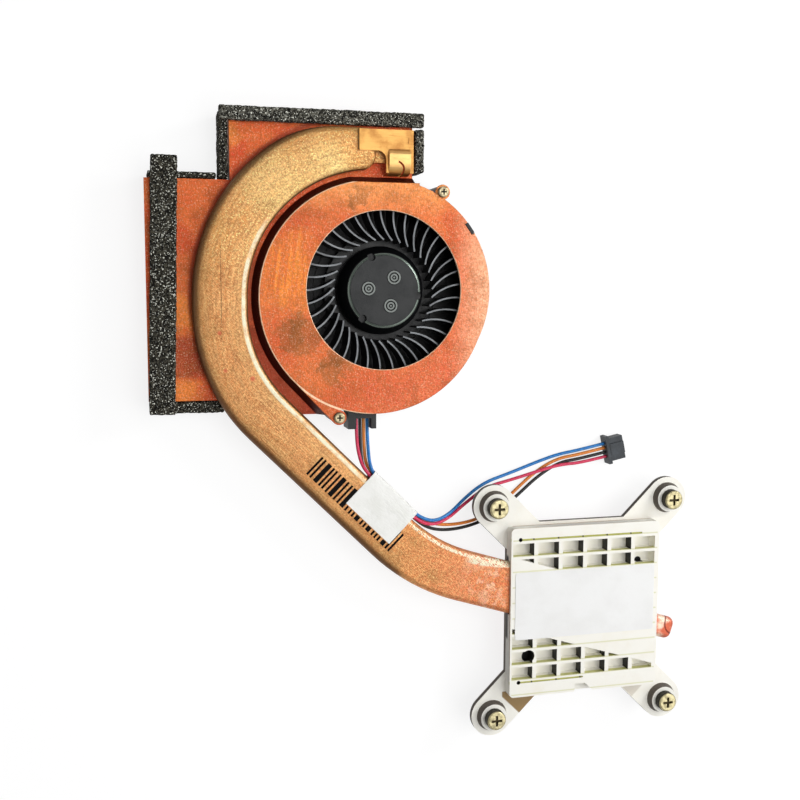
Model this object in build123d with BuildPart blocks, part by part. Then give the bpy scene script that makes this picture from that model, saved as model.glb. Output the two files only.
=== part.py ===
from build123d import *
import math
import os

os.makedirs("parts", exist_ok=True)

# All sizes are in millimetres. The origin is on the fan axis at the underside of the fan base.
# +Z points out of the air inlet, -X and +Y point out of the two air outlets.

# Copper sheet: the raised fan cover and the lower panel over the fins
sheet = 0.5
cover_top = 11.5
panel_top = 8.0
inlet_r = 20.0
edge_round = 0.2
duct_widening = 1.5
duct_arc_x = -2.5
duct_arc_y = -1.9
cover_flat = 0.95
step_out = 1.75
cover_corner_x = 9.0
ear_r = 1.9
ear_out = 1.2
ear_rear_angle = 58.8
ear_front_out = 2.13
ear_front_angle = 252.66
panel_beyond_pipe = 10.7
panel_right = 7.9
panel_beyond_tail = 3.3
notch_x_back = 2.2
notch_y_back = 13.6
panel_front_back = 13.2
lip_left_out = 0.4
lip_corner_back = 6.0
lip_beyond_ear = 2.6

# Moulded fan housing
housing_wall = 1.2
floor = 1.0
cover_overhang = 0.2
seat_gap = 0.1
tab_angle = 35.4
tab_width = 3.0
tab_depth = 0.8
tube_r = 3.6
floor_rib_r = 16.6
floor_rib = 0.5
guide_set_out = 1.3
guide_reach = 2.7
guide_post_left = 2.1
guide_post_right = 1.3
guide_low = 3.5
guide_high = 9.6

# Impeller
blade_count = 37
blade_phase = 4.8
blade_tip_r = 25.0
blade_tip_gap = 1.5
blade_straight = 4.5
blade_arc_r = 12.8
blade_turn = 38.6
blade_thick = 0.4
blade_low = 2.6
blade_high = 9.8
blade_hold = 1.4
blade_ring = 1.1
hub_r = 11.3
hub_shoulder = 6.2
hub_top_r = 9.4
hub_top = 10.8
hub_round = 1.1
pip_ring_r = 4.15
pip_r = 1.7
pip_hole_r = 1.3
pip_core_r = 0.95
pip_core_hole_r = 0.55
pip_dot_r = 0.25
pip_angle = 53.0
dimple_ring_r = 9.0
dimple_r = 1.0
dimple_angle = -8.4
mark_depth = 0.25

# Motor
yoke_r = 8.4
yoke_wall = 0.6
yoke_top = 9.6
magnet_wall = 1.1
shaft_r = 1.0
shaft_fit = 0.02
shaft_top = 10.2
sleeve_r = 2.6
sleeve_top = 7.4
pad_thick = 0.4
air_gap = 0.45
core_low = 3.4
core_high = 5.8
tooth_count = 6
tooth_width = 1.0
shoe_thick = 0.5
shoe_width = 3.0
coil_thick = 0.35
board_thick = 0.6
board_r = 8.0

# Fins
fin_depth = 12.2
fin_low = 0.4
fin_thick = 0.25
fin_pitch = 1.3

# Flattened heat pipe: it bends round the fan, then runs straight to the clamp
pipe_width = 13.8
pipe_thick = 3.4
pipe_groove = 4.1
pipe_strip = 0.75
bend_width = 13.5
pipe_drop = 4.6
pipe_slope = 45.0
pipe_turn = 27.5
pipe_turn_r = 49.0
pipe_round = 1.6
tail_x = -2.0
tail_width = 6.8
tail_arc_r = 28.5
tail_round = 2.2
tail_inner_round = 4.0
tip_length = 3.4
tip_width = 6.6
tip_thick = 1.8
pipe_past_clamp = 12.0
taper_length = 7.0
nub_width = 6.2
nub_end = 29.0
nub_round = 1.9

# Sheet clip over the pipe's tail
clip_thick = 0.5
clip_left = -6.9
clip_right = 7.2
clip_rear_back = 0.5
clip_step_back = 5.7
clip_neck = 0.2
clip_front_back = 11.6
bridge_left = 0.8
bridge_right = 6.3
bridge_rise = 1.0
bridge_rear_back = 4.9
bridge_flat_back = 8.1
hook_slot = 0.5
hook_top_x = 3.1
hook_top_back = 8.4
hook_side_x = 4.5
hook_side_back = 9.7
hook_foot_x = 3.2
hook_foot_back = 12.3
crease = 0.3
crease_depth = 0.15

# Cast processor clamp
clamp_x = 56.4
clamp_y = -86.6
clamp_width = 43.6
clamp_length = 46.8
clamp_top = 12.4
clamp_round = 1.2
tunnel_gap = 0.1
tunnel_roof = 0.1
screw_pitch_x = 51.2
screw_pitch_y = 58.2
lug_r = 5.8
lug_low = 7.4
lug_high = 9.0
skirt = 0.8
boss_r = 4.3
boss_top_r = 3.7
boss_top = 11.0
pocket_pitch_x = 7.15
pocket_pitch_y = 4.28
pocket_x = 6.0
pocket_y = 3.4
pocket_columns = 6
pocket_rows = 9
pocket_depth = 3.4
pocket_shift_x = -0.4
pocket_shift_y = 0.4
pocket_least = 3.0
land_rear = 1.5
land_front = 3.3
rim_groove = 0.5
rim_groove_depth = 0.4
groove_left = 2.6
rear_groove_back = 3.1
rear_groove_length = 35.8
front_groove_back = 4.1
front_groove_length = 18.9
peg_hole = (-16.4, -12.1)
peg_hole_r = 1.7
pin_mark = (15.1, 12.8)
pin_mark_r = 0.8
groove_dot_r = 0.55
groove_dot_depth = 1.2
notch_left = 2.7
notch_corner = 0.4
notch_right = 2.7
notch_deep = 2.2

# Copper plate under the pipe at the clamp
plate_side = 34.0
plate_thick = 2.0
pedestal_side = 20.0
pedestal_thick = 0.8
plate_gap = 0.2

# Captive screws
head_r = 2.7
head_high = 2.3
head_round = 0.6
shank_r = 1.25
shank_gap = 0.2
shank_tip = 0.3
tip_chamfer = 0.5
seat_clear = 0.05
float_travel = 2.2
float_clear = 0.3
ring_thick = 0.6
ring_r = 2.6
ring_groove_r = 1.0
cross_length = 3.0
cross_width = 0.7
cross_depth = 0.9

# Cover screws
small_head_r = 1.4
small_head_high = 0.9
small_head_round = 0.35
small_shank_r = 0.8
small_shank = 4.5
small_fit = 0.03
small_cross = 1.5
small_cross_width = 0.4
small_cross_depth = 0.4

# White label on the clamp
label_x = 41.0
label_y = 18.6
label_shift_y = 2.0
label_thick = 0.15
label_round = 0.6

# Foam strips
foam_thick = 2.6
foam_left_width = 6.8
foam_edge = 0.6
foam_left_beyond = 5.6
foam_front_beyond = 3.4
foam_lean = 1.5
foam_end = 2.0
foam_side = 2.8
foam_rear_depth = 4.0
foam_rear_gap = 0.3
foam_right_out = 2.45

# Wires, their tape and the plug
wire_d = 0.9
wire_pitch = 0.95
guide_wire_x = -6.55
guide_wire_z = 6.8
tape_start = 31.0
tape_end = 47.0
tape_thick = 0.2
tape_cover = 1.8
tape_side = 2.3
tape_tuck = 1.6
tape_lift = 0.6
plug_x = 66.3
plug_y = -44.6
plug_angle = 12.0
plug_pitch = 1.25
plug_axis_z = 1.6
plug_lead = 9.0
plug_flange = 1.0
plug_flange_y = 8.0
plug_flange_z = 3.4
plug_depth = 5.2
plug_body_y = 6.6
plug_body_z = 2.9
plug_entry = 1.5
plug_entry_r = 0.55
contact_side = 0.7
contact_cell = 0.8
contact_length = 3.0
plug_key = 0.7

# Values worked out from the sizes above
cover_low = cover_top - sheet
panel_low = panel_top - sheet
pipe_half = pipe_width / 2
scroll_r = blade_tip_r + blade_tip_gap + housing_wall + cover_overhang
duct_arc_r = scroll_r + duct_widening
cover_rear = scroll_r - cover_flat
pipe_bend_r = duct_arc_r + pipe_groove + pipe_half
tail_rear = pipe_bend_r - pipe_half + tail_width
pipe_inner_r = duct_arc_r + step_out + pipe_strip
pipe_left = duct_arc_x - pipe_inner_r
pipe_outer_r = pipe_inner_r + bend_width
pipe_out = duct_arc_x - pipe_outer_r
panel_left = pipe_out - panel_beyond_pipe
panel_rear = tail_rear + panel_beyond_tail
panel_front = panel_front_back - pipe_bend_r
notch_x = notch_x_back - pipe_bend_r
notch_y = pipe_bend_r - notch_y_back
lip_left = pipe_left + lip_left_out
lip_corner = lip_left - lip_corner_back
lip_front = duct_arc_y - duct_arc_r
foam_left_rear = notch_y + foam_left_beyond
foam_front = panel_front - foam_front_beyond
foam_right_front = cover_rear + foam_right_out
clip_rear = tail_rear - clip_rear_back
clip_step = tail_rear - clip_step_back
clip_front = tail_rear - clip_front_back
bridge_rear = tail_rear - bridge_rear_back
bridge_flat = tail_rear - bridge_flat_back
guide_face = lip_front - guide_set_out
guide_front = guide_face - guide_reach
pipe_top = panel_top + pipe_thick
fin_inner_x = panel_left + sheet + fin_depth
fin_inner_y = panel_rear - sheet - fin_depth
duct_left = fin_inner_x + cover_overhang
duct_rear = fin_inner_y - cover_overhang
magnet_r = yoke_r - yoke_wall
core_r = magnet_r - magnet_wall - air_gap
head_seat = boss_top + seat_clear
ring_top = lug_low - float_travel - float_clear
lug_points = [(sx * screw_pitch_x / 2, sy * screw_pitch_y / 2) for sy in (1, -1) for sx in (-1, 1)]
clamp_plane = Plane(origin=(clamp_x, clamp_y, 0))
groove_x = groove_left - clamp_width / 2
rear_groove_y = clamp_length / 2 - rear_groove_back
front_groove_y = front_groove_back - clamp_length / 2


def polar(centre_x, centre_y, radius, angle):
    """Point at a radius and an angle in degrees from a centre."""
    turn = math.radians(angle)
    return (centre_x + radius * math.cos(turn), centre_y + radius * math.sin(turn))


ear_rear = polar(0, 0, scroll_r + ear_out, ear_rear_angle)
ear_front = polar(duct_arc_x, duct_arc_y, duct_arc_r + ear_front_out, ear_front_angle)
lip_right = ear_front[0] - lip_beyond_ear
ears = [ear_rear, ear_front]


def tangent_normal(centre_a, radius_a, centre_b, radius_b):
    """Unit normal of the left-hand outer tangent from circle a to circle b."""
    dx = centre_b[0] - centre_a[0]
    dy = centre_b[1] - centre_a[1]
    turn = math.atan2(dy, dx) - math.acos((radius_a - radius_b) / math.hypot(dx, dy))
    return Vector(math.cos(turn), math.sin(turn))


def raised_area(inset):
    """Plan of the raised fan cover, drawn smaller by the inset."""
    arc_centre = Vector(duct_arc_x, duct_arc_y)
    ear_centre = Vector(*ear_front)
    normal = tangent_normal((duct_arc_x, duct_arc_y), duct_arc_r, ear_front, ear_r)
    Circle(scroll_r - inset)
    with Locations((duct_arc_x, duct_arc_y)):
        Circle(duct_arc_r - inset)
    with Locations(*ears):
        Circle(ear_r - inset)
    with BuildLine() as straight_edge:
        Polyline(
            arc_centre,
            arc_centre + normal * (duct_arc_r - inset),
            ear_centre + normal * (ear_r - inset),
            ear_centre,
            close=True,
        )
    make_face(straight_edge.edges())
    corner = cover_corner_x - inset
    with Locations((corner, cover_rear - inset)):
        Rectangle(corner, inlet_r - scroll_r / 2, align=(Align.MAX, Align.MAX))
    with Locations((corner, cover_rear - inset)):
        Rectangle(2 * scroll_r, scroll_r, align=(Align.MAX, Align.MIN), mode=Mode.SUBTRACT)


def step_area(inset):
    """Plan of the raised cover on the side of the lower panel, drawn smaller by the inset."""
    arc_centre = Vector(duct_arc_x, duct_arc_y)
    ear_centre = Vector(*ear_front)
    normal = tangent_normal((duct_arc_x, duct_arc_y), duct_arc_r, ear_front, ear_r)
    with Locations((duct_arc_x, duct_arc_y)):
        Circle(duct_arc_r - inset)
    with BuildLine() as straight_edge:
        Polyline(
            arc_centre,
            arc_centre + normal * (duct_arc_r - inset),
            ear_centre + normal * (ear_r - inset),
            ear_centre,
            close=True,
        )
    make_face(straight_edge.edges())
    with Locations((0, cover_rear - inset)):
        Rectangle(scroll_r, scroll_r, align=(Align.MIN, Align.MAX))
    with Locations((0, cover_rear - inset)):
        Rectangle(3 * scroll_r, scroll_r, align=(Align.CENTER, Align.MIN), mode=Mode.SUBTRACT)


def duct_area(left, rear, inset):
    """Plan of the low part beside the fan, open to the left and to the rear, drawn smaller by the inset."""
    with BuildLine() as duct_edge:
        Polyline(
            (left, panel_front + inset),
            (left, notch_y - inset),
            (notch_x + inset, notch_y - inset),
            (notch_x + inset, rear),
            (panel_right - inset, rear),
            (panel_right - inset, scroll_r / 2),
            (-scroll_r / 3, -scroll_r / 2),
            (lip_right, lip_front + inset),
            (lip_left + inset / 2, lip_front + inset),
            (lip_corner + inset / 2, panel_front + inset),
            close=True,
        )
    make_face(duct_edge.edges())


# Sloping step that joins the two levels of the cover
step_lean = math.degrees(math.atan(step_out / (cover_low - panel_low)))
with BuildPart() as step_wall:
    with BuildSketch(Plane.XY.offset(panel_low)):
        step_area(-step_out)
    extrude(amount=cover_low - panel_low, taper=step_lean)
    with BuildSketch(Plane.XY.offset(panel_low)):
        step_area(sheet - step_out)
    extrude(amount=cover_low - panel_low, taper=step_lean, mode=Mode.SUBTRACT)
    with BuildSketch(Plane.XY.offset(panel_low)):
        duct_area(panel_left, panel_rear, 0)
    extrude(amount=cover_low - panel_low, mode=Mode.INTERSECT)

# Copper cover: raised fan cover with the inlet, lower panel, and the step between them
with BuildPart() as cover_plate:
    with BuildSketch(Plane.XY.offset(cover_low)):
        raised_area(0)
        Circle(inlet_r, mode=Mode.SUBTRACT)
        with Locations(*ears):
            Circle(small_shank_r + seat_gap, mode=Mode.SUBTRACT)
        with PolarLocations(scroll_r - tab_depth / 2, 1, start_angle=tab_angle):
            Rectangle(tab_depth + 2 * seat_gap, tab_width + 2 * seat_gap, mode=Mode.SUBTRACT)
    extrude(amount=sheet)
    rim = cover_plate.faces().sort_by(Axis.Z)[-1]
    fillet(rim.outer_wire().edges() + rim.inner_wires().sort_by(SortBy.LENGTH)[-1].edges(), edge_round)
    with BuildSketch(Plane.XY.offset(panel_low)):
        duct_area(panel_left, panel_rear, 0)
        with BuildSketch(mode=Mode.SUBTRACT):
            step_area(sheet - step_out)
    extrude(amount=sheet)
    add(step_wall.part)

# Scroll tray: floor, walls under both levels of the cover, motor tube, wire guide and snap tab
with BuildPart() as fan_housing:
    with BuildSketch():
        raised_area(cover_overhang)
        duct_area(duct_left, duct_rear, cover_overhang)
    extrude(amount=floor)
    with BuildSketch(Plane.XY.offset(floor)):
        raised_area(cover_overhang)
        duct_area(duct_left, duct_rear, cover_overhang)
        with BuildSketch(mode=Mode.SUBTRACT):
            raised_area(cover_overhang + housing_wall)
            duct_area(duct_left - fin_depth, duct_rear + fin_depth, cover_overhang + housing_wall)
    extrude(amount=panel_low - floor)
    with BuildSketch(Plane.XY.offset(floor)):
        raised_area(cover_overhang)
        with BuildSketch(mode=Mode.SUBTRACT):
            raised_area(cover_overhang + housing_wall)
            duct_area(panel_left, panel_rear, -seat_gap)
    extrude(amount=cover_low - floor)
    with BuildSketch():
        with Locations(*ears):
            Circle(ear_r - cover_overhang)
    extrude(amount=cover_low)
    with BuildSketch(Plane.XY.offset(cover_low - small_shank)):
        with Locations(*ears):
            Circle(small_shank_r + small_fit)
    extrude(amount=small_shank, mode=Mode.SUBTRACT)
    with BuildSketch(Plane.XY.offset(floor)):
        Circle(floor_rib_r)
        Circle(floor_rib_r - floor_rib, mode=Mode.SUBTRACT)
    extrude(amount=floor_rib)
    with BuildSketch(Plane.XY.offset(floor)):
        Circle(tube_r)
        Circle(sleeve_r, mode=Mode.SUBTRACT)
    extrude(amount=sleeve_top - floor)
    with BuildSketch(Plane.XY.offset(cover_low - tab_width)):
        with PolarLocations(scroll_r - tab_depth / 2, 1, start_angle=tab_angle):
            Rectangle(tab_depth, tab_width)
    extrude(amount=tab_width + sheet)
    guide_left = guide_wire_x - wire_d / 2 - seat_gap
    guide_right = guide_wire_x + 3 * wire_pitch + wire_d / 2 + seat_gap
    wall_inside = duct_arc_y - duct_arc_r + housing_wall
    with BuildSketch(Plane.XY.offset(guide_low)):
        with Locations((guide_left - guide_post_left, guide_front)):
            Rectangle(guide_post_left, wall_inside - guide_front, align=Align.MIN)
        with Locations((guide_right, guide_front)):
            Rectangle(guide_post_right, wall_inside - guide_front, align=Align.MIN)
    extrude(amount=guide_high - guide_low)
    with BuildSketch(Plane.XY.offset(guide_low)):
        with Locations((guide_left, guide_face)):
            Rectangle(guide_right - guide_left, wall_inside - guide_face, align=Align.MIN)
    extrude(amount=guide_high - guide_low)

# Two cross-head screws that hold the cover down
with BuildPart() as cover_screws:
    with BuildSketch(Plane.XY.offset(cover_top)):
        with Locations(*ears):
            Circle(small_head_r)
    extrude(amount=small_head_high)
    fillet(cover_screws.edges().group_by(Axis.Z)[-1], small_head_round)
    with BuildSketch(Plane.XY.offset(cover_top + small_head_high)):
        with Locations(*ears):
            Rectangle(small_cross, small_cross_width)
            Rectangle(small_cross_width, small_cross)
    extrude(amount=-small_cross_depth, mode=Mode.SUBTRACT)
    with BuildSketch(Plane.XY.offset(cover_top)):
        with Locations(*ears):
            Circle(small_shank_r)
    extrude(amount=-small_shank - sheet + seat_gap)

# One blade, straight and radial at its tip, then curved as it nears the hub
with BuildSketch() as blade:
    with BuildLine():
        straight = Line((blade_tip_r, 0), (blade_tip_r - blade_straight, 0))
        curve = JernArc(straight @ 1, (-1, 0), blade_arc_r, blade_turn)
    trace(line_width=blade_thick)
blade_in = curve @ 1
blade_ring_r = blade_in.length + blade_hold

# Impeller: hub bored for the rotor, the ring under the blades, and the blades
with BuildPart() as impeller:
    with BuildSketch(Plane.XZ):
        with BuildLine():
            Polyline(
                (0, yoke_top),
                (yoke_r, yoke_top),
                (yoke_r, blade_low),
                (blade_ring_r, blade_low),
                (blade_ring_r, blade_low + blade_ring),
                (hub_r, blade_low + blade_ring),
                (hub_r, hub_shoulder),
                (hub_top_r, hub_top),
                (0, hub_top),
                close=True,
            )
        make_face()
    revolve(axis=Axis.Z)
    fillet(impeller.edges().filter_by(GeomType.CIRCLE).group_by(Axis.Z)[-1], hub_round)
    with BuildSketch(Plane.XY.offset(blade_low)):
        with PolarLocations(0, blade_count, start_angle=blade_phase):
            add(blade.sketch)
    extrude(amount=blade_high - blade_low)
    with BuildSketch(Plane.XY.offset(hub_top)):
        with PolarLocations(pip_ring_r, 3, start_angle=pip_angle):
            Circle(pip_r)
            Circle(pip_hole_r, mode=Mode.SUBTRACT)
            Circle(pip_core_r)
            Circle(pip_core_hole_r, mode=Mode.SUBTRACT)
            Circle(pip_dot_r)
    extrude(amount=mark_depth)
    with BuildSketch(Plane.XY.offset(hub_top)):
        with PolarLocations(dimple_ring_r, 3, start_angle=dimple_angle):
            Circle(dimple_r)
    extrude(amount=-hub_round, mode=Mode.SUBTRACT)
    with BuildSketch(Plane.XY.offset(yoke_top)):
        Circle(shaft_r)
    extrude(amount=shaft_top - yoke_top, mode=Mode.SUBTRACT)

# Steel cup pressed into the hub, with the magnet ring inside it
with BuildPart() as rotor_yoke:
    with BuildSketch(Plane.XY.offset(blade_low)):
        Circle(yoke_r)
        Circle(magnet_r, mode=Mode.SUBTRACT)
    extrude(amount=yoke_top - blade_low)
    with BuildSketch(Plane.XY.offset(yoke_top)):
        Circle(magnet_r)
        Circle(shaft_r, mode=Mode.SUBTRACT)
    extrude(amount=-yoke_wall)

with BuildPart() as rotor_magnet:
    with BuildSketch(Plane.XY.offset(blade_low + seat_gap)):
        Circle(magnet_r)
        Circle(magnet_r - magnet_wall, mode=Mode.SUBTRACT)
    extrude(amount=yoke_top - yoke_wall - blade_low - seat_gap)

with BuildPart() as motor_shaft:
    with BuildSketch(Plane.XY.offset(floor + pad_thick + seat_clear)):
        Circle(shaft_r)
    extrude(amount=shaft_top - floor - pad_thick - seat_clear)

# Bearing sleeve on its thrust pad, both in the housing's tube
with BuildPart() as thrust_pad:
    with BuildSketch(Plane.XY.offset(floor)):
        Circle(sleeve_r)
    extrude(amount=pad_thick)

with BuildPart() as bearing_sleeve:
    with BuildSketch(Plane.XY.offset(floor + pad_thick)):
        Circle(sleeve_r)
        Circle(shaft_r + shaft_fit, mode=Mode.SUBTRACT)
    extrude(amount=sleeve_top - floor - pad_thick)

# Stator: a laminated core with T-shaped teeth, and a winding round each tooth
tooth_out = core_r - shoe_thick
with BuildPart() as stator_core:
    with BuildSketch(Plane.XY.offset(core_low)):
        Circle(core_r)
        Circle(tooth_out, mode=Mode.SUBTRACT)
        with PolarLocations(core_r, tooth_count):
            Rectangle(2 * core_r, shoe_width, mode=Mode.PRIVATE)
        with BuildSketch(mode=Mode.INTERSECT):
            with PolarLocations(core_r / 2, tooth_count):
                Rectangle(2 * core_r, shoe_width)
        with PolarLocations((tube_r + tooth_out) / 2, tooth_count):
            Rectangle(tooth_out - tube_r + shoe_thick, tooth_width)
        Circle(tube_r + shoe_thick)
        Circle(tube_r, mode=Mode.SUBTRACT)
    extrude(amount=core_high - core_low)

with BuildPart() as stator_coils:
    coil_in = tube_r + shoe_thick + seat_gap
    coil_out = tooth_out - seat_gap
    with BuildSketch(Plane.XY.offset(core_low - coil_thick)):
        with PolarLocations((coil_in + coil_out) / 2, tooth_count):
            Rectangle(coil_out - coil_in, tooth_width + 2 * coil_thick)
    extrude(amount=core_high - core_low + 2 * coil_thick)
    with BuildSketch(Plane.XY.offset(core_low)):
        with PolarLocations((coil_in + coil_out) / 2, tooth_count):
            Rectangle(2 * coil_out, tooth_width)
    extrude(amount=core_high - core_low, mode=Mode.SUBTRACT)

with BuildPart() as motor_board:
    with BuildSketch(Plane.XY.offset(floor)):
        Circle(board_r)
        Circle(tube_r, mode=Mode.SUBTRACT)
    extrude(amount=board_thick)


def fin_count(span):
    """How many air channels fit in the span of a fin stack."""
    return int((span - fin_thick) / fin_pitch)


# Folded fins under the panel, open front to back for the air
left_span = notch_y - panel_front - 2 * cover_overhang
left_channels = fin_count(left_span)
with BuildPart() as fin_stack_left:
    with Locations((fin_inner_x, (notch_y + panel_front) / 2, fin_low)):
        Box(fin_depth, left_span, panel_low - fin_low, align=(Align.MAX, Align.CENTER, Align.MIN))
    with BuildSketch(Plane.YZ.offset(fin_inner_x)):
        with Locations(((notch_y + panel_front) / 2, (panel_low + fin_low) / 2)):
            with GridLocations(left_span / left_channels, 1, left_channels, 1):
                Rectangle(left_span / left_channels - fin_thick, panel_low - fin_low - 2 * fin_thick)
    extrude(amount=-fin_depth, mode=Mode.SUBTRACT)

rear_span = panel_right - notch_x - 2 * cover_overhang
rear_channels = fin_count(rear_span)
with BuildPart() as fin_stack_rear:
    with Locations(((panel_right + notch_x) / 2, fin_inner_y, fin_low)):
        Box(rear_span, fin_depth, panel_low - fin_low, align=(Align.CENTER, Align.MIN, Align.MIN))
    with BuildSketch(Plane.XZ.offset(-fin_inner_y)):
        with Locations(((panel_right + notch_x) / 2, (panel_low + fin_low) / 2)):
            with GridLocations(rear_span / rear_channels, 1, rear_channels, 1):
                Rectangle(rear_span / rear_channels - fin_thick, panel_low - fin_low - 2 * fin_thick)
    extrude(amount=-fin_depth, mode=Mode.SUBTRACT)

# Heat pipe centre line: the straight run leaves the bend, meets the clamp run and turns into it
slope = math.radians(pipe_slope)
clamp_slope = math.radians(pipe_slope - pipe_turn)
run_dir = Vector(math.cos(slope), -math.sin(slope))
run_side = Vector(math.sin(slope), math.cos(slope))
clamp_dir = Vector(math.cos(clamp_slope), -math.sin(clamp_slope))
clamp_side = Vector(math.sin(clamp_slope), math.cos(clamp_slope))
clamp_centre = Vector(clamp_x, clamp_y)
bend_end = Vector(0, -pipe_drop) - run_side * pipe_bend_r
run_to_corner = clamp_side.dot(clamp_centre - bend_end) / clamp_side.dot(run_dir)
pipe_corner = bend_end + run_dir * run_to_corner
turn_length = pipe_turn_r * math.tan(math.radians(pipe_turn / 2))
run_length = run_to_corner - turn_length
clamp_run = (clamp_centre - pipe_corner).length - turn_length + pipe_past_clamp
inner_turn_r = (pipe_bend_r - pipe_half + math.sin(slope) * pipe_left) / (1 - math.sin(slope))
outer_turn_r = (pipe_bend_r + pipe_half + math.sin(slope) * pipe_out) / (1 - math.sin(slope))
tail_arc_y = tail_rear - tail_arc_r - duct_arc_y
tail_arc_back = math.sqrt((pipe_outer_r - tail_arc_r) ** 2 - tail_arc_y**2)
tail_arc_angle = math.degrees(math.atan2(tail_arc_y, -tail_arc_back))


def pipe_side(start, offset):
    """One long side of the pipe, from the start of its straight run to the end of its full width."""
    run = Line(start, bend_end - run_side * offset + run_dir * run_length)
    turn = JernArc(run @ 1, run_dir, pipe_turn_r + offset, pipe_turn)
    end = Line(turn @ 1, turn @ 1 + clamp_dir * clamp_run)
    return end @ 1


# Flattened pipe: plan outline at the flattened thickness, rolled over at both edges
with BuildPart() as heat_pipe:
    with BuildSketch(Plane.XY.offset(panel_top)) as pipe_plan:
        with BuildLine():
            tail_across = tail_x - duct_arc_x
            tail_inner = Vector(tail_x, duct_arc_y + math.sqrt(pipe_inner_r**2 - tail_across**2))
            tail_turn = math.degrees(math.acos(tail_across / pipe_inner_r))
            inner_bend = CenterArc((duct_arc_x, duct_arc_y), pipe_inner_r, tail_turn, 180 - tail_turn)
            inner_drop = Line(inner_bend @ 1, (pipe_left, -pipe_drop))
            inner_turn = JernArc(inner_drop @ 1, (0, -1), inner_turn_r, pipe_slope)
            inner_end = pipe_side(inner_turn @ 1, -pipe_half)
            tail_flat = Line((tail_x, tail_rear), (duct_arc_x - tail_arc_back, tail_rear))
            tail_bend = JernArc(tail_flat @ 1, (-1, 0), tail_arc_r, tail_arc_angle - 90)
            outer_bend = JernArc(tail_bend @ 1, tail_bend % 1, pipe_outer_r, 180 - tail_arc_angle)
            outer_drop = Line(outer_bend @ 1, (pipe_out, -pipe_drop))
            outer_turn = JernArc(outer_drop @ 1, (0, -1), outer_turn_r, pipe_slope)
            outer_end = pipe_side(outer_turn @ 1, pipe_half)
            nub_middle = clamp_centre + clamp_dir * nub_end
            nub_start = clamp_centre + clamp_dir * (pipe_past_clamp + taper_length)
            nub_half = clamp_side * (nub_width / 2)
            Polyline(
                inner_end,
                nub_start + nub_half,
                nub_middle + nub_half,
                nub_middle - nub_half,
                nub_start - nub_half,
                outer_end,
            )
            Line(inner_bend @ 0, tail_flat @ 0)
        make_face()
        tail_corner = pipe_plan.vertices().group_by(Axis.Y)[-1].sort_by(Axis.X)[-1]
        fillet(tail_corner, tail_round)
        tail_corner = pipe_plan.vertices().sort_by_distance((tail_inner.X, tail_inner.Y, panel_top))[0]
        fillet(tail_corner, tail_inner_round)
        nub_corners = pipe_plan.vertices().sort_by_distance((nub_middle.X, nub_middle.Y, panel_top))[:2]
        fillet(nub_corners, nub_round)
        taper_corners = pipe_plan.vertices().sort_by_distance((nub_start.X, nub_start.Y, panel_top))[:2]
        fillet(taper_corners, nub_width / 2)
    extrude(amount=pipe_thick)
    fillet(heat_pipe.edges().filter_by(Plane.XY), pipe_round)
    with BuildSketch(Plane.XY.offset(panel_top)):
        with Locations((tail_x, (tail_rear + tail_inner.Y) / 2)):
            Rectangle(2 * tip_length, tip_width)
    extrude(amount=tip_thick)

# Clip over the pipe's tail: a flat plate with a curved neck, and a bridge that hooks down to the panel
with BuildPart() as pipe_end_clip:
    with BuildSketch(Plane.XY.offset(pipe_top)) as clip_plan:
        with BuildLine():
            Polyline(
                (clip_left, clip_rear),
                (clip_left, clip_step),
                (clip_neck, clip_step),
                (clip_neck, clip_front + clip_thick),
                (clip_right, clip_front + clip_thick),
                (clip_right, clip_rear),
                close=True,
            )
        make_face()
        fillet(clip_plan.vertices().sort_by_distance((clip_neck, clip_step, pipe_top))[:1], tail_round)
        fillet(clip_plan.vertices().sort_by_distance((clip_left, clip_step, pipe_top))[:1], clip_thick)
        with Locations(((bridge_left + bridge_right) / 2, clip_front)):
            Rectangle(
                bridge_right - bridge_left,
                bridge_rear - clip_front,
                align=(Align.CENTER, Align.MIN),
                mode=Mode.SUBTRACT,
            )
    extrude(amount=clip_thick)
    with BuildSketch(Plane.YZ.offset(bridge_left)):
        with BuildLine():
            bridge_top = pipe_top + clip_thick / 2
            FilletPolyline(
                (bridge_rear + clip_thick, bridge_top),
                (bridge_rear - clip_thick, bridge_top),
                (bridge_rear - bridge_rise - clip_thick, bridge_top + bridge_rise),
                (clip_front + clip_thick / 2, bridge_top + bridge_rise),
                (clip_front + clip_thick / 2, panel_top),
                radius=[clip_thick, clip_thick, bridge_flat - clip_front - clip_thick],
            )
        trace(line_width=clip_thick)
    extrude(amount=bridge_right - bridge_left)
    with BuildSketch(Plane.XY.offset(panel_top + clip_thick)):
        with BuildLine():
            ThreePointArc(
                (hook_top_x, tail_rear - hook_top_back),
                (hook_side_x, tail_rear - hook_side_back),
                (hook_foot_x, tail_rear - hook_foot_back),
            )
        trace(line_width=hook_slot)
    extrude(amount=pipe_thick + bridge_rise + clip_thick, mode=Mode.SUBTRACT)
    with BuildSketch(Plane.XY.offset(pipe_top + clip_thick)):
        with BuildLine():
            crease_rear = clip_rear - 3 * clip_thick
            crease_front = bridge_rear + 2 * clip_thick
            Polyline(
                (bridge_left, crease_rear),
                (bridge_right - clip_thick, crease_rear - clip_thick),
                (bridge_right - clip_thick, crease_front),
            )
        trace(line_width=crease)
    extrude(amount=-crease_depth, mode=Mode.SUBTRACT)
    with BuildSketch(Plane.XY.offset(pipe_top + clip_thick + bridge_rise)):
        with Locations(((bridge_left + bridge_right + clip_thick) / 2, bridge_flat + clip_thick)):
            Rectangle(bridge_right - bridge_left - 3 * clip_thick, crease)
    extrude(amount=-crease_depth, mode=Mode.SUBTRACT)

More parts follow.
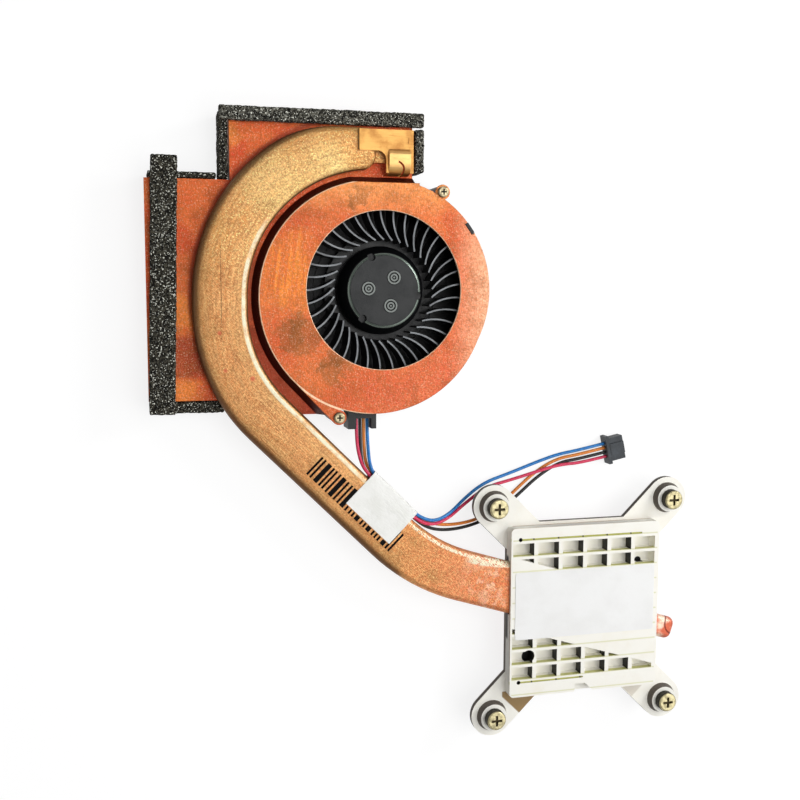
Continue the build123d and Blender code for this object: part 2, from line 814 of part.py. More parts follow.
# Cast clamp: block over the pipe, skirt and four slanted lugs, bosses, waffle of pockets
land = pipe_width + 2 * tunnel_gap + land_rear + land_front
with BuildPart() as processor_clamp:
    with BuildSketch(clamp_plane.offset(panel_top)):
        RectangleRounded(clamp_width, clamp_length, clamp_round)
    extrude(amount=clamp_top - panel_top)
    with BuildSketch(clamp_plane.offset(lug_low)):
        Rectangle(clamp_width, clamp_length + 2 * skirt)
        for x, y in lug_points:
            reach = lug_r * math.sqrt(2)
            with Locations((x, y)):
                Circle(lug_r)
            with Locations(Location((x, y), math.degrees(math.atan2(-y, -x / abs(x) * abs(y))))):
                Rectangle(2 * reach, 2 * lug_r, align=(Align.MIN, Align.CENTER))
        Rectangle(plate_side + 2 * plate_gap, plate_side + 2 * plate_gap, mode=Mode.SUBTRACT)
    extrude(amount=lug_high - lug_low)
    with BuildSketch(clamp_plane.offset(lug_high)):
        with Locations(*lug_points):
            Circle(boss_r)
    boss_lean = math.degrees(math.atan((boss_r - boss_top_r) / (boss_top - lug_high)))
    extrude(amount=boss_top - lug_high, taper=boss_lean)
    with BuildSketch(clamp_plane.offset(lug_low)):
        with Locations(*lug_points):
            Circle(shank_r + shank_gap)
    extrude(amount=boss_top - lug_low, mode=Mode.SUBTRACT)
    with BuildSketch(clamp_plane.offset(clamp_top)) as pockets:
        with Locations((pocket_shift_x, pocket_shift_y)):
            with GridLocations(pocket_pitch_x, pocket_pitch_y, pocket_columns, pocket_rows):
                Rectangle(pocket_x, pocket_y)
        with Locations(Location((0, 0), pipe_turn - pipe_slope)):
            with Locations((0, (land_rear - land_front) / 2)):
                Rectangle(2 * clamp_width, land, mode=Mode.SUBTRACT)
    peg_centre = clamp_centre + Vector(peg_hole[0], peg_hole[1], clamp_top)
    extrude(
        to_extrude=[
            face
            for face in pockets.faces()
            if face.area > pocket_least and (face.center() - peg_centre).length > pocket_y
        ],
        amount=-pocket_depth,
        mode=Mode.SUBTRACT,
    )
    with BuildSketch(clamp_plane.offset(clamp_top)):
        with Locations(peg_hole):
            Circle(peg_hole_r)
        with Locations(pin_mark):
            Circle(pin_mark_r)
    extrude(amount=-pocket_depth, mode=Mode.SUBTRACT)
    with BuildSketch(clamp_plane.offset(clamp_top)):
        with Locations((groove_x + rear_groove_length / 2, rear_groove_y)):
            SlotOverall(rear_groove_length, rim_groove)
        with Locations((groove_x + front_groove_length / 2, front_groove_y)):
            SlotOverall(front_groove_length, rim_groove)
    extrude(amount=-rim_groove_depth, mode=Mode.SUBTRACT)
    with BuildSketch(clamp_plane.offset(clamp_top)):
        with Locations((groove_x, rear_groove_y), (groove_x, front_groove_y)):
            Circle(groove_dot_r)
    extrude(amount=-groove_dot_depth, mode=Mode.SUBTRACT)
    with BuildSketch(clamp_plane.offset(lug_high)):
        with BuildLine():
            Polyline(
                (-notch_left, -clamp_length / 2 - clamp_round),
                (-notch_left, notch_deep - clamp_length / 2),
                (notch_corner, notch_deep - clamp_length / 2),
                (notch_right, -clamp_length / 2),
                (notch_right, -clamp_length / 2 - clamp_round),
                close=True,
            )
        make_face()
    extrude(amount=clamp_top - lug_high, mode=Mode.SUBTRACT)
    with BuildSketch(clamp_plane.offset(panel_top)):
        with Locations(Location((0, 0), pipe_turn - pipe_slope)):
            Rectangle(2 * clamp_width, pipe_width + 2 * tunnel_gap)
    extrude(amount=pipe_thick + tunnel_roof, mode=Mode.SUBTRACT)

# Copper plate under the pipe, with the pedestal that meets the processor
with BuildPart() as cold_plate:
    with BuildSketch(clamp_plane.offset(panel_top)):
        RectangleRounded(plate_side, plate_side, clamp_round)
    extrude(amount=-plate_thick)
    with BuildSketch(clamp_plane.offset(panel_top - plate_thick)):
        RectangleRounded(pedestal_side, pedestal_side, clamp_round)
    extrude(amount=-pedestal_thick)

with BuildPart() as clamp_label:
    with BuildSketch(clamp_plane.offset(clamp_top)):
        with Locations((0, label_shift_y)):
            RectangleRounded(label_x, label_y, label_round)
    extrude(amount=label_thick)


def clamp_screw(x, y):
    """Captive screw at one lug, seated on its boss, with a groove for its ring."""
    with BuildPart() as screw:
        with BuildSketch(clamp_plane.offset(head_seat)):
            with Locations((x, y)):
                Circle(head_r)
        extrude(amount=head_high)
        fillet(screw.edges().group_by(Axis.Z)[-1], head_round)
        with BuildSketch(clamp_plane.offset(head_seat + head_high)):
            with Locations((x, y)):
                Rectangle(cross_length, cross_width)
                Rectangle(cross_width, cross_length)
        extrude(amount=-cross_depth, mode=Mode.SUBTRACT)
        with BuildSketch(clamp_plane.offset(shank_tip)):
            with Locations((x, y)):
                Circle(shank_r)
        extrude(amount=head_seat - shank_tip)
        chamfer(screw.edges().group_by(Axis.Z)[0], tip_chamfer)
        with BuildSketch(clamp_plane.offset(ring_top)):
            with Locations((x, y)):
                Circle(shank_r)
                Circle(ring_groove_r, mode=Mode.SUBTRACT)
        extrude(amount=-ring_thick, mode=Mode.SUBTRACT)
    return screw.part


def screw_ring(x, y):
    """Ring in a captive screw's groove."""
    with BuildPart() as ring:
        with BuildSketch(clamp_plane.offset(ring_top)):
            with Locations((x, y)):
                Circle(ring_r)
                Circle(ring_groove_r, mode=Mode.SUBTRACT)
        extrude(amount=-ring_thick)
    return ring.part


# Foam strips round the two outlets: on the panel's edges and on the ends of the fin stacks
def foam_strip(low, high, lean=0):
    """Foam block between two opposite corners, turned about its middle by the lean."""
    middle = ((low[0] + high[0]) / 2, (low[1] + high[1]) / 2, low[2])
    with BuildPart() as strip:
        with Locations(Location(middle, (0, 0, -lean))):
            Box(
                high[0] - low[0],
                high[1] - low[1],
                high[2] - low[2],
                align=(Align.CENTER, Align.CENTER, Align.MIN),
            )
    return strip.part


foam_top = panel_top + foam_thick
foam_strips = {
    "foam_left_top": (
        (panel_left + foam_edge, foam_front, panel_top),
        (panel_left + foam_edge + foam_left_width, foam_left_rear, foam_top),
        foam_lean,
    ),
    "foam_left_upper": (
        (panel_left + foam_edge, notch_y, fin_low),
        (notch_x - foam_side - seat_gap, notch_y + foam_end, panel_top),
    ),
    "foam_left_lower": (
        (panel_left + foam_edge, foam_front, fin_low),
        (lip_corner, panel_front, panel_top),
    ),
    "foam_rear_top": (
        (notch_x - foam_side, tail_rear + foam_rear_gap, panel_top),
        (panel_right + foam_side, tail_rear + foam_rear_gap + foam_rear_depth, foam_top),
    ),
    "foam_rear_left": (
        (notch_x - foam_side, notch_y, fin_low),
        (notch_x, panel_rear, panel_top),
    ),
    "foam_rear_right": (
        (panel_right, foam_right_front, fin_low),
        (panel_right + foam_side, tail_rear + foam_rear_gap, foam_top),
    ),
}

# Tape round the wires, stuck to the top and the underside of the pipe's straight run
edge_n = run_side.dot(bend_end) + pipe_half
tape_plane = Plane(
    origin=run_dir * tape_start + run_side * edge_n + Vector(0, 0, panel_top),
    x_dir=run_side,
    z_dir=run_dir,
)
with BuildPart() as wire_tape:
    with BuildSketch(tape_plane):
        with BuildLine():
            tape_high = pipe_thick + tape_thick / 2
            tape_low = -tape_thick / 2
            FilletPolyline(
                (-pipe_half - tape_cover, tape_high),
                (tape_lift - pipe_round, tape_high),
                (tape_side, pipe_thick - tape_thick),
                (tape_side, tape_low),
                (-pipe_round - tape_tuck, tape_low),
                radius=[tape_tuck / 2, tape_side / 3, tape_side / 3],
            )
        trace(line_width=tape_thick)
    extrude(amount=tape_end - tape_start)

# Plug: flange with the wire holes, body with the contact cells, and a key on top
plug_plane = Plane(
    origin=(plug_x, plug_y, plug_axis_z),
    x_dir=(-math.sin(math.radians(plug_angle)), math.cos(math.radians(plug_angle)), 0),
    z_dir=(math.cos(math.radians(plug_angle)), math.sin(math.radians(plug_angle)), 0),
)
with BuildPart() as plug_housing:
    with BuildSketch(plug_plane):
        with Locations((0, plug_flange_z / 2 - plug_axis_z)):
            Rectangle(plug_flange_y, plug_flange_z)
    extrude(amount=plug_flange)
    with BuildSketch(plug_plane.offset(plug_flange)):
        with Locations((0, plug_flange_z / 2 - plug_axis_z)):
            Rectangle(plug_body_y, plug_body_z)
        with Locations((0, plug_flange_z / 2 - plug_axis_z + plug_body_z / 2)):
            Rectangle(plug_body_y / 2, plug_key)
    extrude(amount=plug_depth - plug_flange)
    with BuildSketch(plug_plane):
        with GridLocations(plug_pitch, 1, 4, 1):
            Circle(plug_entry_r)
    extrude(amount=plug_entry, mode=Mode.SUBTRACT)
    with BuildSketch(plug_plane.offset(plug_entry)):
        with GridLocations(plug_pitch, 1, 4, 1):
            Rectangle(contact_cell, contact_cell)
    extrude(amount=plug_depth - plug_entry, mode=Mode.SUBTRACT)

with BuildPart() as plug_contacts:
    with BuildSketch(plug_plane.offset(plug_entry)):
        with GridLocations(plug_pitch, 1, 4, 1):
            Rectangle(contact_side, contact_side)
    extrude(amount=contact_length)


def plug_point(place, back):
    """Point on the axis of one plug place, some way behind the contact's rear end."""
    return plug_plane.from_local_coords(Vector((place - 1.5) * plug_pitch, 0, plug_entry - back))


def beside_pipe(along, out, height):
    """Point beside the pipe's straight run: along it, out from its edge and up from its underside."""
    return run_dir * along + run_side * (edge_n + out) + Vector(0, 0, panel_top + height)


# Wires: chosen points from the guide, under the tape, past the lug to the plug
wire_routes = {
    "wire_red": [
        (-6.55, guide_face, 6.8), (-6.5, -36.6, 6.8), (-6.4, -40.8, 7.8), (-5.6, -44.9, 9.5),
        beside_pipe(31.5, 0.56, 2.2), beside_pipe(39.0, 0.46, 2.25), beside_pipe(46.5, 0.56, 2.2),
        (12.6, -61.9, 8.8), (18.6, -61.2, 5.6), (24.8, -57.2, 3.2), (31.0, -53.4, 2.2), (38.4, -51.9, 1.6),
        (45.6, -49.9, 1.9), (52.6, -48.2, 1.8), plug_point(0, plug_lead), plug_point(0, 0),
    ],
    "wire_black": [
        (-5.6, guide_face, 6.8), (-5.55, -36.6, 6.8), (-5.45, -41.0, 7.2), (-5.3, -45.0, 8.2),
        beside_pipe(31.5, 0.56, 1.15), beside_pipe(39.0, 0.46, 1.2), beside_pipe(46.5, 0.56, 1.1),
        (12.6, -62.9, 7.2), (19.6, -64.6, 3.9), (27.8, -63.9, 1.8), (35.2, -60.9, 0.9), (41.0, -56.2, 0.6),
        (46.6, -51.4, 0.55), (53.0, -47.7, 0.6), plug_point(1, plug_lead), plug_point(1, 0),
    ],
    "wire_orange": [
        (-4.65, guide_face, 6.8), (-4.6, -36.6, 6.8), (-4.5, -41.0, 7.2), (-4.35, -44.7, 8.2),
        beside_pipe(31.5, 1.46, 1.15), beside_pipe(39.0, 1.36, 1.2), beside_pipe(46.5, 1.46, 1.1),
        (13.3, -61.6, 7.2), (20.2, -63.2, 3.9), (28.0, -62.7, 1.9), (34.7, -59.6, 1.0), (40.0, -55.0, 0.6),
        (45.4, -50.4, 0.55), (52.0, -46.7, 0.6), plug_point(2, plug_lead), plug_point(2, 0),
    ],
    "wire_blue": [
        (-3.7, guide_face, 6.8), (-3.65, -36.6, 6.8), (-3.6, -40.8, 7.8), (-3.65, -44.2, 9.5),
        beside_pipe(31.5, 1.46, 2.2), beside_pipe(39.0, 1.36, 2.25), beside_pipe(46.5, 1.46, 2.2),
        (13.3, -60.9, 8.8), (19.0, -60.0, 5.6), (24.6, -55.9, 3.0), (30.4, -52.3, 1.7), (38.0, -50.2, 0.9),
        (46.2, -47.4, 0.6), (52.6, -45.4, 0.7), plug_point(3, plug_lead), plug_point(3, 0),
    ],
}


def bend_radii(points):
    """Largest even radius at each inner point: 0.45 of the shorter run over the tangent of half the turn."""
    radii = []
    for before, here, after in zip(points, points[1:], points[2:]):
        turn = math.radians((here - before).get_angle(after - here))
        shorter = min((here - before).length, (after - here).length)
        radii.append(0.45 * shorter / math.tan(turn / 2))
    return radii


def wire(points):
    """Round wire along straight runs joined by tangent arcs."""
    route = [Vector(*point) if isinstance(point, tuple) else point for point in points]
    radii = bend_radii(route)
    with BuildPart() as tube:
        with BuildLine() as path:
            FilletPolyline(*route, radius=radii)
        with BuildSketch(Plane(origin=path.line @ 0, z_dir=path.line % 0)):
            Circle(wire_d / 2)
        sweep()
    return tube.part


pieces = {
    "cover_plate": cover_plate.part,
    "fan_housing": fan_housing.part,
    "cover_screws": cover_screws.part,
    "impeller": impeller.part,
    "rotor_yoke": rotor_yoke.part,
    "rotor_magnet": rotor_magnet.part,
    "motor_shaft": motor_shaft.part,
    "thrust_pad": thrust_pad.part,
    "bearing_sleeve": bearing_sleeve.part,
    "stator_core": stator_core.part,
    "stator_coils": stator_coils.part,
    "motor_board": motor_board.part,
    "fin_stack_left": fin_stack_left.part,
    "fin_stack_rear": fin_stack_rear.part,
    "heat_pipe": heat_pipe.part,
    "pipe_end_clip": pipe_end_clip.part,
    "processor_clamp": processor_clamp.part,
    "cold_plate": cold_plate.part,
    "clamp_label": clamp_label.part,
    "wire_tape": wire_tape.part,
    "plug_housing": plug_housing.part,
    "plug_contacts": plug_contacts.part,
}
for number, (x, y) in enumerate(lug_points, start=1):
    pieces[f"clamp_screw_{number}"] = clamp_screw(x, y)
    pieces[f"screw_ring_{number}"] = screw_ring(x, y)
for name, strip in foam_strips.items():
    pieces[name] = foam_strip(*strip)
for name, points in wire_routes.items():
    pieces[name] = wire(points)

for name, piece in pieces.items():
    piece.label = name
    export_step(piece, f"parts/{name}.step")
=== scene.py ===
"""Looks for a laptop cooling fan heatsink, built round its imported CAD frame."""

from __future__ import annotations

import logging
import math
from dataclasses import dataclass, field
from enum import Enum
from functools import reduce

import bmesh
import bpy
from mathutils import Matrix, Vector, noise

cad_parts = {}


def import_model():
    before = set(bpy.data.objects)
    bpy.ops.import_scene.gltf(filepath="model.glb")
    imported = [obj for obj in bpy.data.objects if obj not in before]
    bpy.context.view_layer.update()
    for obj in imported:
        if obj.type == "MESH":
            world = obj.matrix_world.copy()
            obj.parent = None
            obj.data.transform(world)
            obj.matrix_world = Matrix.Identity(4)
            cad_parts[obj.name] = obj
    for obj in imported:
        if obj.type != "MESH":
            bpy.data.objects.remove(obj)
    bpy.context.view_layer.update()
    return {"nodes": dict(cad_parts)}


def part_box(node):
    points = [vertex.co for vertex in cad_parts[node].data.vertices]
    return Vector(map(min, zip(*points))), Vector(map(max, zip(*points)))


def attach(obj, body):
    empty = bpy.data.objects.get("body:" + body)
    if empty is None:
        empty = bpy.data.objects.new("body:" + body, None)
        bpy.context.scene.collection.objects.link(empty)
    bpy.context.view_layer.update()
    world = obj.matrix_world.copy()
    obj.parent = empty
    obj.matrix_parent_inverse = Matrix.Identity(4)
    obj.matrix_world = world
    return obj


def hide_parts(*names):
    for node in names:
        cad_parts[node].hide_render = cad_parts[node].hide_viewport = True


LOG = logging.getLogger("cooler")
BODY = "cooler"
MM = 0.001
MM_PER_METRE = 1000.0
DIAGONAL = math.sqrt(0.5)
CLAMP_MM = (56.4, -86.6)
LUG_REACH_MM = (25.6, 29.1)
PIPE_BEND_MM = (-2.5, -1.9)
NOISE_ROUGHNESS = 0.6
MARK_LONG = 700.0
MARK_FINE = 3800.0
Colour = tuple[float, float, float, float]
Point = tuple[float, float, float]
Disc = tuple[float, float, float]
Place = tuple[float, float]
Span = tuple[float, float]


def tint(red: int, green: int, blue: int) -> Colour:
    """Turns a screen colour into the linear colour that a shader takes.

    Args:
        red: Red from 0 to 255.
        green: Green from 0 to 255.
        blue: Blue from 0 to 255.

    Returns:
        The linear colour with full alpha.
    """

    def linear(value: int) -> float:
        """Linear light of one screen value."""
        part = value / 255
        return part / 12.92 if part <= 0.04045 else ((part + 0.055) / 1.055) ** 2.4

    return (linear(red), linear(green), linear(blue), 1.0)


def grey(level: float) -> Colour:
    """Grey of one linear level."""
    return (level, level, level, 1.0)


class Sock:
    """A shader output that takes part in arithmetic."""

    def __init__(self, graph: Graph, socket: bpy.types.NodeSocket) -> None:
        """Wraps an output of the graph."""
        self.graph = graph
        self.socket = socket

    def __add__(self, other: Sock | float) -> Sock:
        """Sum of the two values."""
        return self.graph.maths("ADD", self, other)

    __radd__ = __add__

    def __sub__(self, other: Sock | float) -> Sock:
        """This value less the other."""
        return self.graph.maths("SUBTRACT", self, other)

    def __rsub__(self, other: float) -> Sock:
        """The number less this value."""
        return self.graph.maths("SUBTRACT", other, self)

    def __mul__(self, other: Sock | float) -> Sock:
        """Product of the two values."""
        return self.graph.maths("MULTIPLY", self, other)

    __rmul__ = __mul__

    def __abs__(self) -> Sock:
        """The value without its sign."""
        return self.graph.maths("ABSOLUTE", self)

    def least(self, other: Sock | float) -> Sock:
        """Smaller of the two values."""
        return self.graph.maths("MINIMUM", self, other)

    def most(self, other: Sock | float) -> Sock:
        """Larger of the two values."""
        return self.graph.maths("MAXIMUM", self, other)

    def band(self, low: float, high: float, soft: float) -> Sock:
        """1 between low and high, fading to 0 over the soft width outside them."""
        return self.ramp(low - soft, low) * self.ramp(high + soft, high)

    def wave(self, period: float) -> Sock:
        """Distance from the nearest whole multiple of the period."""
        return self.graph.maths("PINGPONG", self, period / 2)

    def ramp(self, low: float, high: float) -> Sock:
        """Smooth step between two values.

        Args:
            low: Where the step is 0.
            high: Where it is 1, which may also be below low.

        Returns:
            The step.
        """
        start, end = (0.0, 1.0) if low < high else (1.0, 0.0)
        made = self.graph.node(
            "ShaderNodeMapRange",
            {"Value": self, 1: min(low, high), 2: max(low, high), 3: start, 4: end},
            interpolation_type="SMOOTHSTEP",
        )
        return Sock(self.graph, made.outputs["Result"])


class Graph:
    """One material's node tree."""

    def __init__(self, name: str) -> None:
        """Starts a material, with the place on the object in metres and in millimetres.

        Args:
            name: The material's name.
        """
        self.material = bpy.data.materials.new(name)
        self.material.use_nodes = True
        self.tree = self.material.node_tree
        self.shader = self.tree.nodes["Principled BSDF"]
        self.place = Sock(self, self.node("ShaderNodeTexCoord").outputs["Object"])
        split = self.node("ShaderNodeSeparateXYZ", {"Vector": self.place})
        self.x, self.y, self.z = (Sock(self, out) * MM_PER_METRE for out in split.outputs)

    def node(self, kind: str, inputs: dict | None = None, **settings: object) -> bpy.types.Node:
        """Adds a node.

        Args:
            kind: The node's type name.
            inputs: Socket name or number to a value or another node's output.
            **settings: The node's own settings.

        Returns:
            The new node.
        """
        made = self.tree.nodes.new(kind)
        for name, value in settings.items():
            setattr(made, name, value)
        for name, value in (inputs or {}).items():
            self.feed(made.inputs[name], value)
        return made

    def feed(self, socket: bpy.types.NodeSocket, value: object) -> None:
        """Links an output to a socket, or sets the socket's own value.

        Args:
            socket: The input socket.
            value: An output, or a value that the socket takes.
        """
        if isinstance(value, Sock):
            self.tree.links.new(value.socket, socket)
        else:
            socket.default_value = value

    def maths(self, operation: str, *values: Sock | float) -> Sock:
        """One maths node on the values."""
        made = self.node("ShaderNodeMath", dict(enumerate(values)), operation=operation)
        return Sock(self, made.outputs[0])

    def stretched(self, scale: Point, turn: float = 0.0) -> Sock:
        """Object place scaled differently along each axis.

        Args:
            scale: The scale along each axis.
            turn: The turn about Z that comes first, in degrees.

        Returns:
            The scaled place.
        """
        turned = self.node(
            "ShaderNodeMapping",
            {"Vector": self.place, "Rotation": (0.0, 0.0, math.radians(-turn))},
        )
        made = self.node("ShaderNodeMapping", {"Vector": Sock(self, turned.outputs[0]), "Scale": scale})
        return Sock(self, made.outputs[0])

    def away(self, x: float, y: float) -> Sock:
        """Distance in plan from a point, in millimetres."""
        return self.maths("SQRT", (self.x - x) * (self.x - x) + (self.y - y) * (self.y - y))

    def disc(self, x: float, y: float, radius: float, soft: float, ragged: Sock | float = 0.0) -> Sock:
        """Inside of a circle in plan, in millimetres.

        Args:
            x: The middle along X.
            y: The middle along Y.
            radius: The circle's radius.
            soft: How far its edge fades to either side.
            ragged: How far its edge is pushed in.

        Returns:
            1 inside the circle.
        """
        return (self.away(x, y) + ragged).ramp(radius + soft, radius - soft)

    def hatch(self, turn: float) -> Sock:
        """Fine rolling marks along and across one direction.

        Args:
            turn: The direction in degrees.

        Returns:
            The marks, from 0 to 1.
        """
        along = self.noise(1.0, 2.0, self.stretched((MARK_LONG, MARK_FINE, MARK_LONG), turn))
        across = self.noise(1.0, 2.0, self.stretched((MARK_FINE, MARK_LONG, MARK_LONG), turn))
        return (along + across).ramp(0.72, 1.28)

    def noise(self, scale: float, detail: float = 4.0, at: Sock | None = None) -> Sock:
        """Cloud noise.

        Args:
            scale: How many features it has to the metre.
            detail: How many finer layers it has.
            at: Where it is read, if not at the object place.

        Returns:
            The noise, from 0 to 1.
        """
        made = self.node(
            "ShaderNodeTexNoise",
            {"Vector": at or self.place, "Scale": scale, "Detail": detail, "Roughness": NOISE_ROUGHNESS},
        )
        return Sock(self, made.outputs[0])

    def cells(self, scale: float) -> Sock:
        """Distance from the middles of random cells, with that many cells to the metre."""
        made = self.node("ShaderNodeTexVoronoi", {"Vector": self.place, "Scale": scale}, feature="F1")
        return Sock(self, made.outputs["Distance"])

    def mix(self, factor: Sock, first: Sock | Colour, second: Sock | Colour) -> Sock:
        """Blend from the first colour to the second."""
        made = self.node("ShaderNodeMix", {0: factor, 6: first, 7: second}, data_type="RGBA")
        return Sock(self, made.outputs[2])

    def layers(self, colour: Sock | Colour, *coats: tuple[Sock, Sock | Colour]) -> Sock:
        """Colours laid one over another.

        Args:
            colour: The ground colour.
            *coats: The mask and the colour of each coat, from the lowest up.

        Returns:
            The colour that is seen.
        """
        for mask, coat in coats:
            colour = self.mix(mask, colour, coat)
        return colour

    def bump(self, height: Sock, distance: float) -> Sock:
        """Normal from a height of 0 to 1, with the distance in metres at 1."""
        made = self.node("ShaderNodeBump", {"Height": height, "Distance": distance, "Strength": 1.0})
        return Sock(self, made.outputs[0])

    def finish(self, **values: object) -> bpy.types.Material:
        """Sets the surface shader's sockets.

        Args:
            **values: A value or an output for each socket, which is named with _ for a space.

        Returns:
            The material.
        """
        for name, value in values.items():
            self.feed(self.shader.inputs[name.replace("_", " ")], value)
        return self.material


@dataclass(frozen=True)
class Finish:
    """A surface finish that can make its own material."""

    name: str

    def make(self) -> bpy.types.Material:
        """Makes the finish's material."""
        raise NotImplementedError


@dataclass(frozen=True)
class CopperSheet(Finish):
    """Stamped copper on two levels, stained by handling, with painted shade on the drawn step between them
    and painted highlights and sheen on the raised level.
    """

    low: Colour = tint(206, 66, 26)
    low_pale: Colour = tint(228, 116, 52)
    low_dark: Colour = tint(148, 38, 18)
    high: Colour = tint(206, 76, 34)
    high_pale: Colour = tint(234, 128, 66)
    pink: Colour = tint(212, 92, 66)
    rose: Colour = tint(248, 190, 152)
    # painted sheen colour, also used for the brighter gold patches on the lower level
    gleam: Colour = tint(250, 148, 58)
    gold: Colour = tint(244, 160, 88)
    stain: Colour = tint(138, 88, 40)
    # painted shade colour of the drawn step wall
    wall: Colour = tint(62, 12, 10)
    shade: Colour = tint(140, 48, 24)
    # painted highlight colour of the raised edges, also used for fine pale specks
    rim: Colour = tint(250, 212, 176)
    wall_mm: Span = (8.25, 10.9)
    inlet_mm: float = 20.0
    arc_mm: Place = PIPE_BEND_MM
    arc_radius_mm: float = 29.4
    chord: Place = (-0.7269, -0.6867)
    pipe_mm: Span = (32.3, 45.4)
    run_mm: float = -37.2
    stains_mm: tuple[Disc, ...] = ((-22.0, -11.5, 5.0), (-13.5, -19.5, 4.0), (-7.0, 22.5, 2.5))
    deep_mm: Disc = (-49.2, -16.6, 5.5)
    bright_mm: tuple[Disc, ...] = ((-50.2, -6.0, 4.5), (-50.0, -25.0, 4.0), (-39.5, 38.0, 3.0))
    gleam_mm: Disc = (-25.5, 5.0, 9.0)
    pink_mm: Span = (4.0, 46.0)
    gold_mm: Span = (17.0, 26.0)
    rose_mm: Span = (16.0, 28.0)
    bend_from_mm: Span = (-10.0, -6.0)
    shade_end_mm: Span = (14.0, 4.0)
    beside_from_mm: Span = (-12.0, -4.0)
    side_end_mm: Span = (-1.0, -6.0)
    edge_level_mm: Span = (11.0, 11.2)

    def shadows(self, graph: Graph) -> Sock:
        """Shade close beside the pipe, where the lower level stays dark.

        Args:
            graph: The material's node tree.

        Returns:
            1 in the shade.
        """
        reach = graph.away(*self.arc_mm)
        inner, outer = self.pipe_mm
        run = ((graph.x + graph.y) * DIAGONAL).ramp(self.run_mm - 0.4, self.run_mm)
        bend = reach.ramp(inner + 0.4, inner) * graph.y.ramp(*self.bend_from_mm)
        within = bend.most(run * graph.y.ramp(*reversed(self.bend_from_mm)))
        beside = reach.band(outer, outer + 0.3, 1.1) * graph.y.ramp(*self.beside_from_mm)
        return (within * graph.y.ramp(*self.shade_end_mm)).most(beside)

    def edges(self, graph: Graph) -> Sock:
        """Painted highlight along the edges of the raised level: its left side, its straight side and the
        inlet.

        Args:
            graph: The material's node tree.

        Returns:
            1 along the edges.
        """
        x, y = self.arc_mm
        reach = graph.away(x, y)
        straight = (graph.x - x) * self.chord[0] + (graph.y - y) * self.chord[1]
        side = (self.arc_radius_mm - reach.most(straight)).band(-0.2, 0.22, 0.08)
        side = side * graph.x.ramp(*self.side_end_mm)
        inlet = (graph.away(0.0, 0.0) - self.inlet_mm).band(-0.1, 0.12, 0.08)
        return side.most(inlet)

    def make(self) -> bpy.types.Material:
        """Makes the stained sheet material.

        Returns:
            The material.
        """
        graph = Graph(self.name)
        level = graph.z.ramp(*self.wall_mm)
        cloud = graph.noise(75.0, 5.0).ramp(0.4, 0.66)
        patch = graph.noise(190.0, 6.0).ramp(0.5, 0.68)
        hatch = graph.hatch(8.0)
        fleck = graph.noise(1500.0, 3.0).ramp(0.42, 0.62)
        ragged = (graph.noise(260.0, 5.0) - 0.5) * 14.0
        brushed = graph.noise(1.0, 3.0, graph.stretched((60.0, 700.0, 300.0), 84.0)).ramp(0.44, 0.62)
        # painted sheen: a bright brushed patch on the raised level at the left
        bright = graph.disc(*self.gleam_mm, 4.0, ragged) * level
        high = graph.layers(
            self.high,
            (cloud * 0.6, self.high_pale),
            ((graph.x - graph.y).ramp(*self.pink_mm) * 0.75, self.pink),
            ((graph.y + ragged * 0.4).ramp(*self.gold_mm) * 0.9, self.gold),
            ((graph.x + ragged * 0.4).ramp(*self.rose_mm) * 0.95, self.rose),
        )
        low = graph.layers(
            self.low,
            (cloud * 0.7, self.low_pale),
            # brighter gold patches on the lower level
            *((graph.disc(*spot, 2.0, ragged * 0.6) * 0.7, self.gleam) for spot in self.bright_mm),
            (graph.disc(*self.deep_mm, 1.0, ragged * 0.4) * 0.75, self.low_dark),
        )
        stained = level * (0.45 + patch * 0.3)
        colour = graph.layers(
            graph.mix(level, low, high),
            (patch * 0.22, self.stain),
            (hatch * (0.25 + level * 0.25), self.high_pale),
            # painted sheen patch
            (bright * (0.3 + brushed * 0.6), self.gleam),
            *((graph.disc(*spot, 0.7, ragged) * stained, self.stain) for spot in self.stains_mm),
            (fleck * 0.3, self.stain),
            (graph.noise(2900.0, 2.0).ramp(0.56, 0.66) * 0.3, self.rim),
            (self.shadows(graph) * (1.0 - level) * 0.7, self.shade),
            # painted shade: the drawn step wall between the two levels is coloured near-black
            (graph.z.band(*self.wall_mm, 0.15) * 0.96, self.wall),
            # painted highlight along the raised level's edges and round the inlet
            (self.edges(graph) * graph.z.ramp(*self.edge_level_mm), self.rim),
        )
        return graph.finish(
            Base_Color=colour,
            Metallic=0.55,
            Roughness=0.38 + patch * 0.14 + hatch * 0.1,
            Normal=graph.bump(hatch + fleck * 0.6, 0.00004),
        )


@dataclass(frozen=True)
class PlainMetal(Finish):
    """Drawn or ground metal with fine grain along one direction."""

    base: Colour
    dull: Colour
    roughness: float = 0.34
    turn: float = 0.0
    wear: float = 0.4
    grain: Point = (220.0, 4200.0, 900.0)

    def marked(self, graph: Graph, colour: Sock) -> Sock:
        """The colour with a piece's own marks, of which plain metal has none."""
        return colour

    def make(self) -> bpy.types.Material:
        """Makes the grained metal.

        Returns:
            The material.
        """
        graph = Graph(self.name)
        grain = graph.noise(1.0, 3.0, graph.stretched(self.grain, self.turn))
        cloud = graph.noise(240.0, 5.0).ramp(0.4, 0.7)
        colour = graph.mix(cloud * self.wear + grain.ramp(0.5, 0.8) * 0.25, self.base, self.dull)
        return graph.finish(
            Base_Color=self.marked(graph, colour),
            Metallic=0.95,
            Roughness=self.roughness + grain * 0.14 + cloud * 0.06,
            Normal=graph.bump(grain, 0.00002),
        )


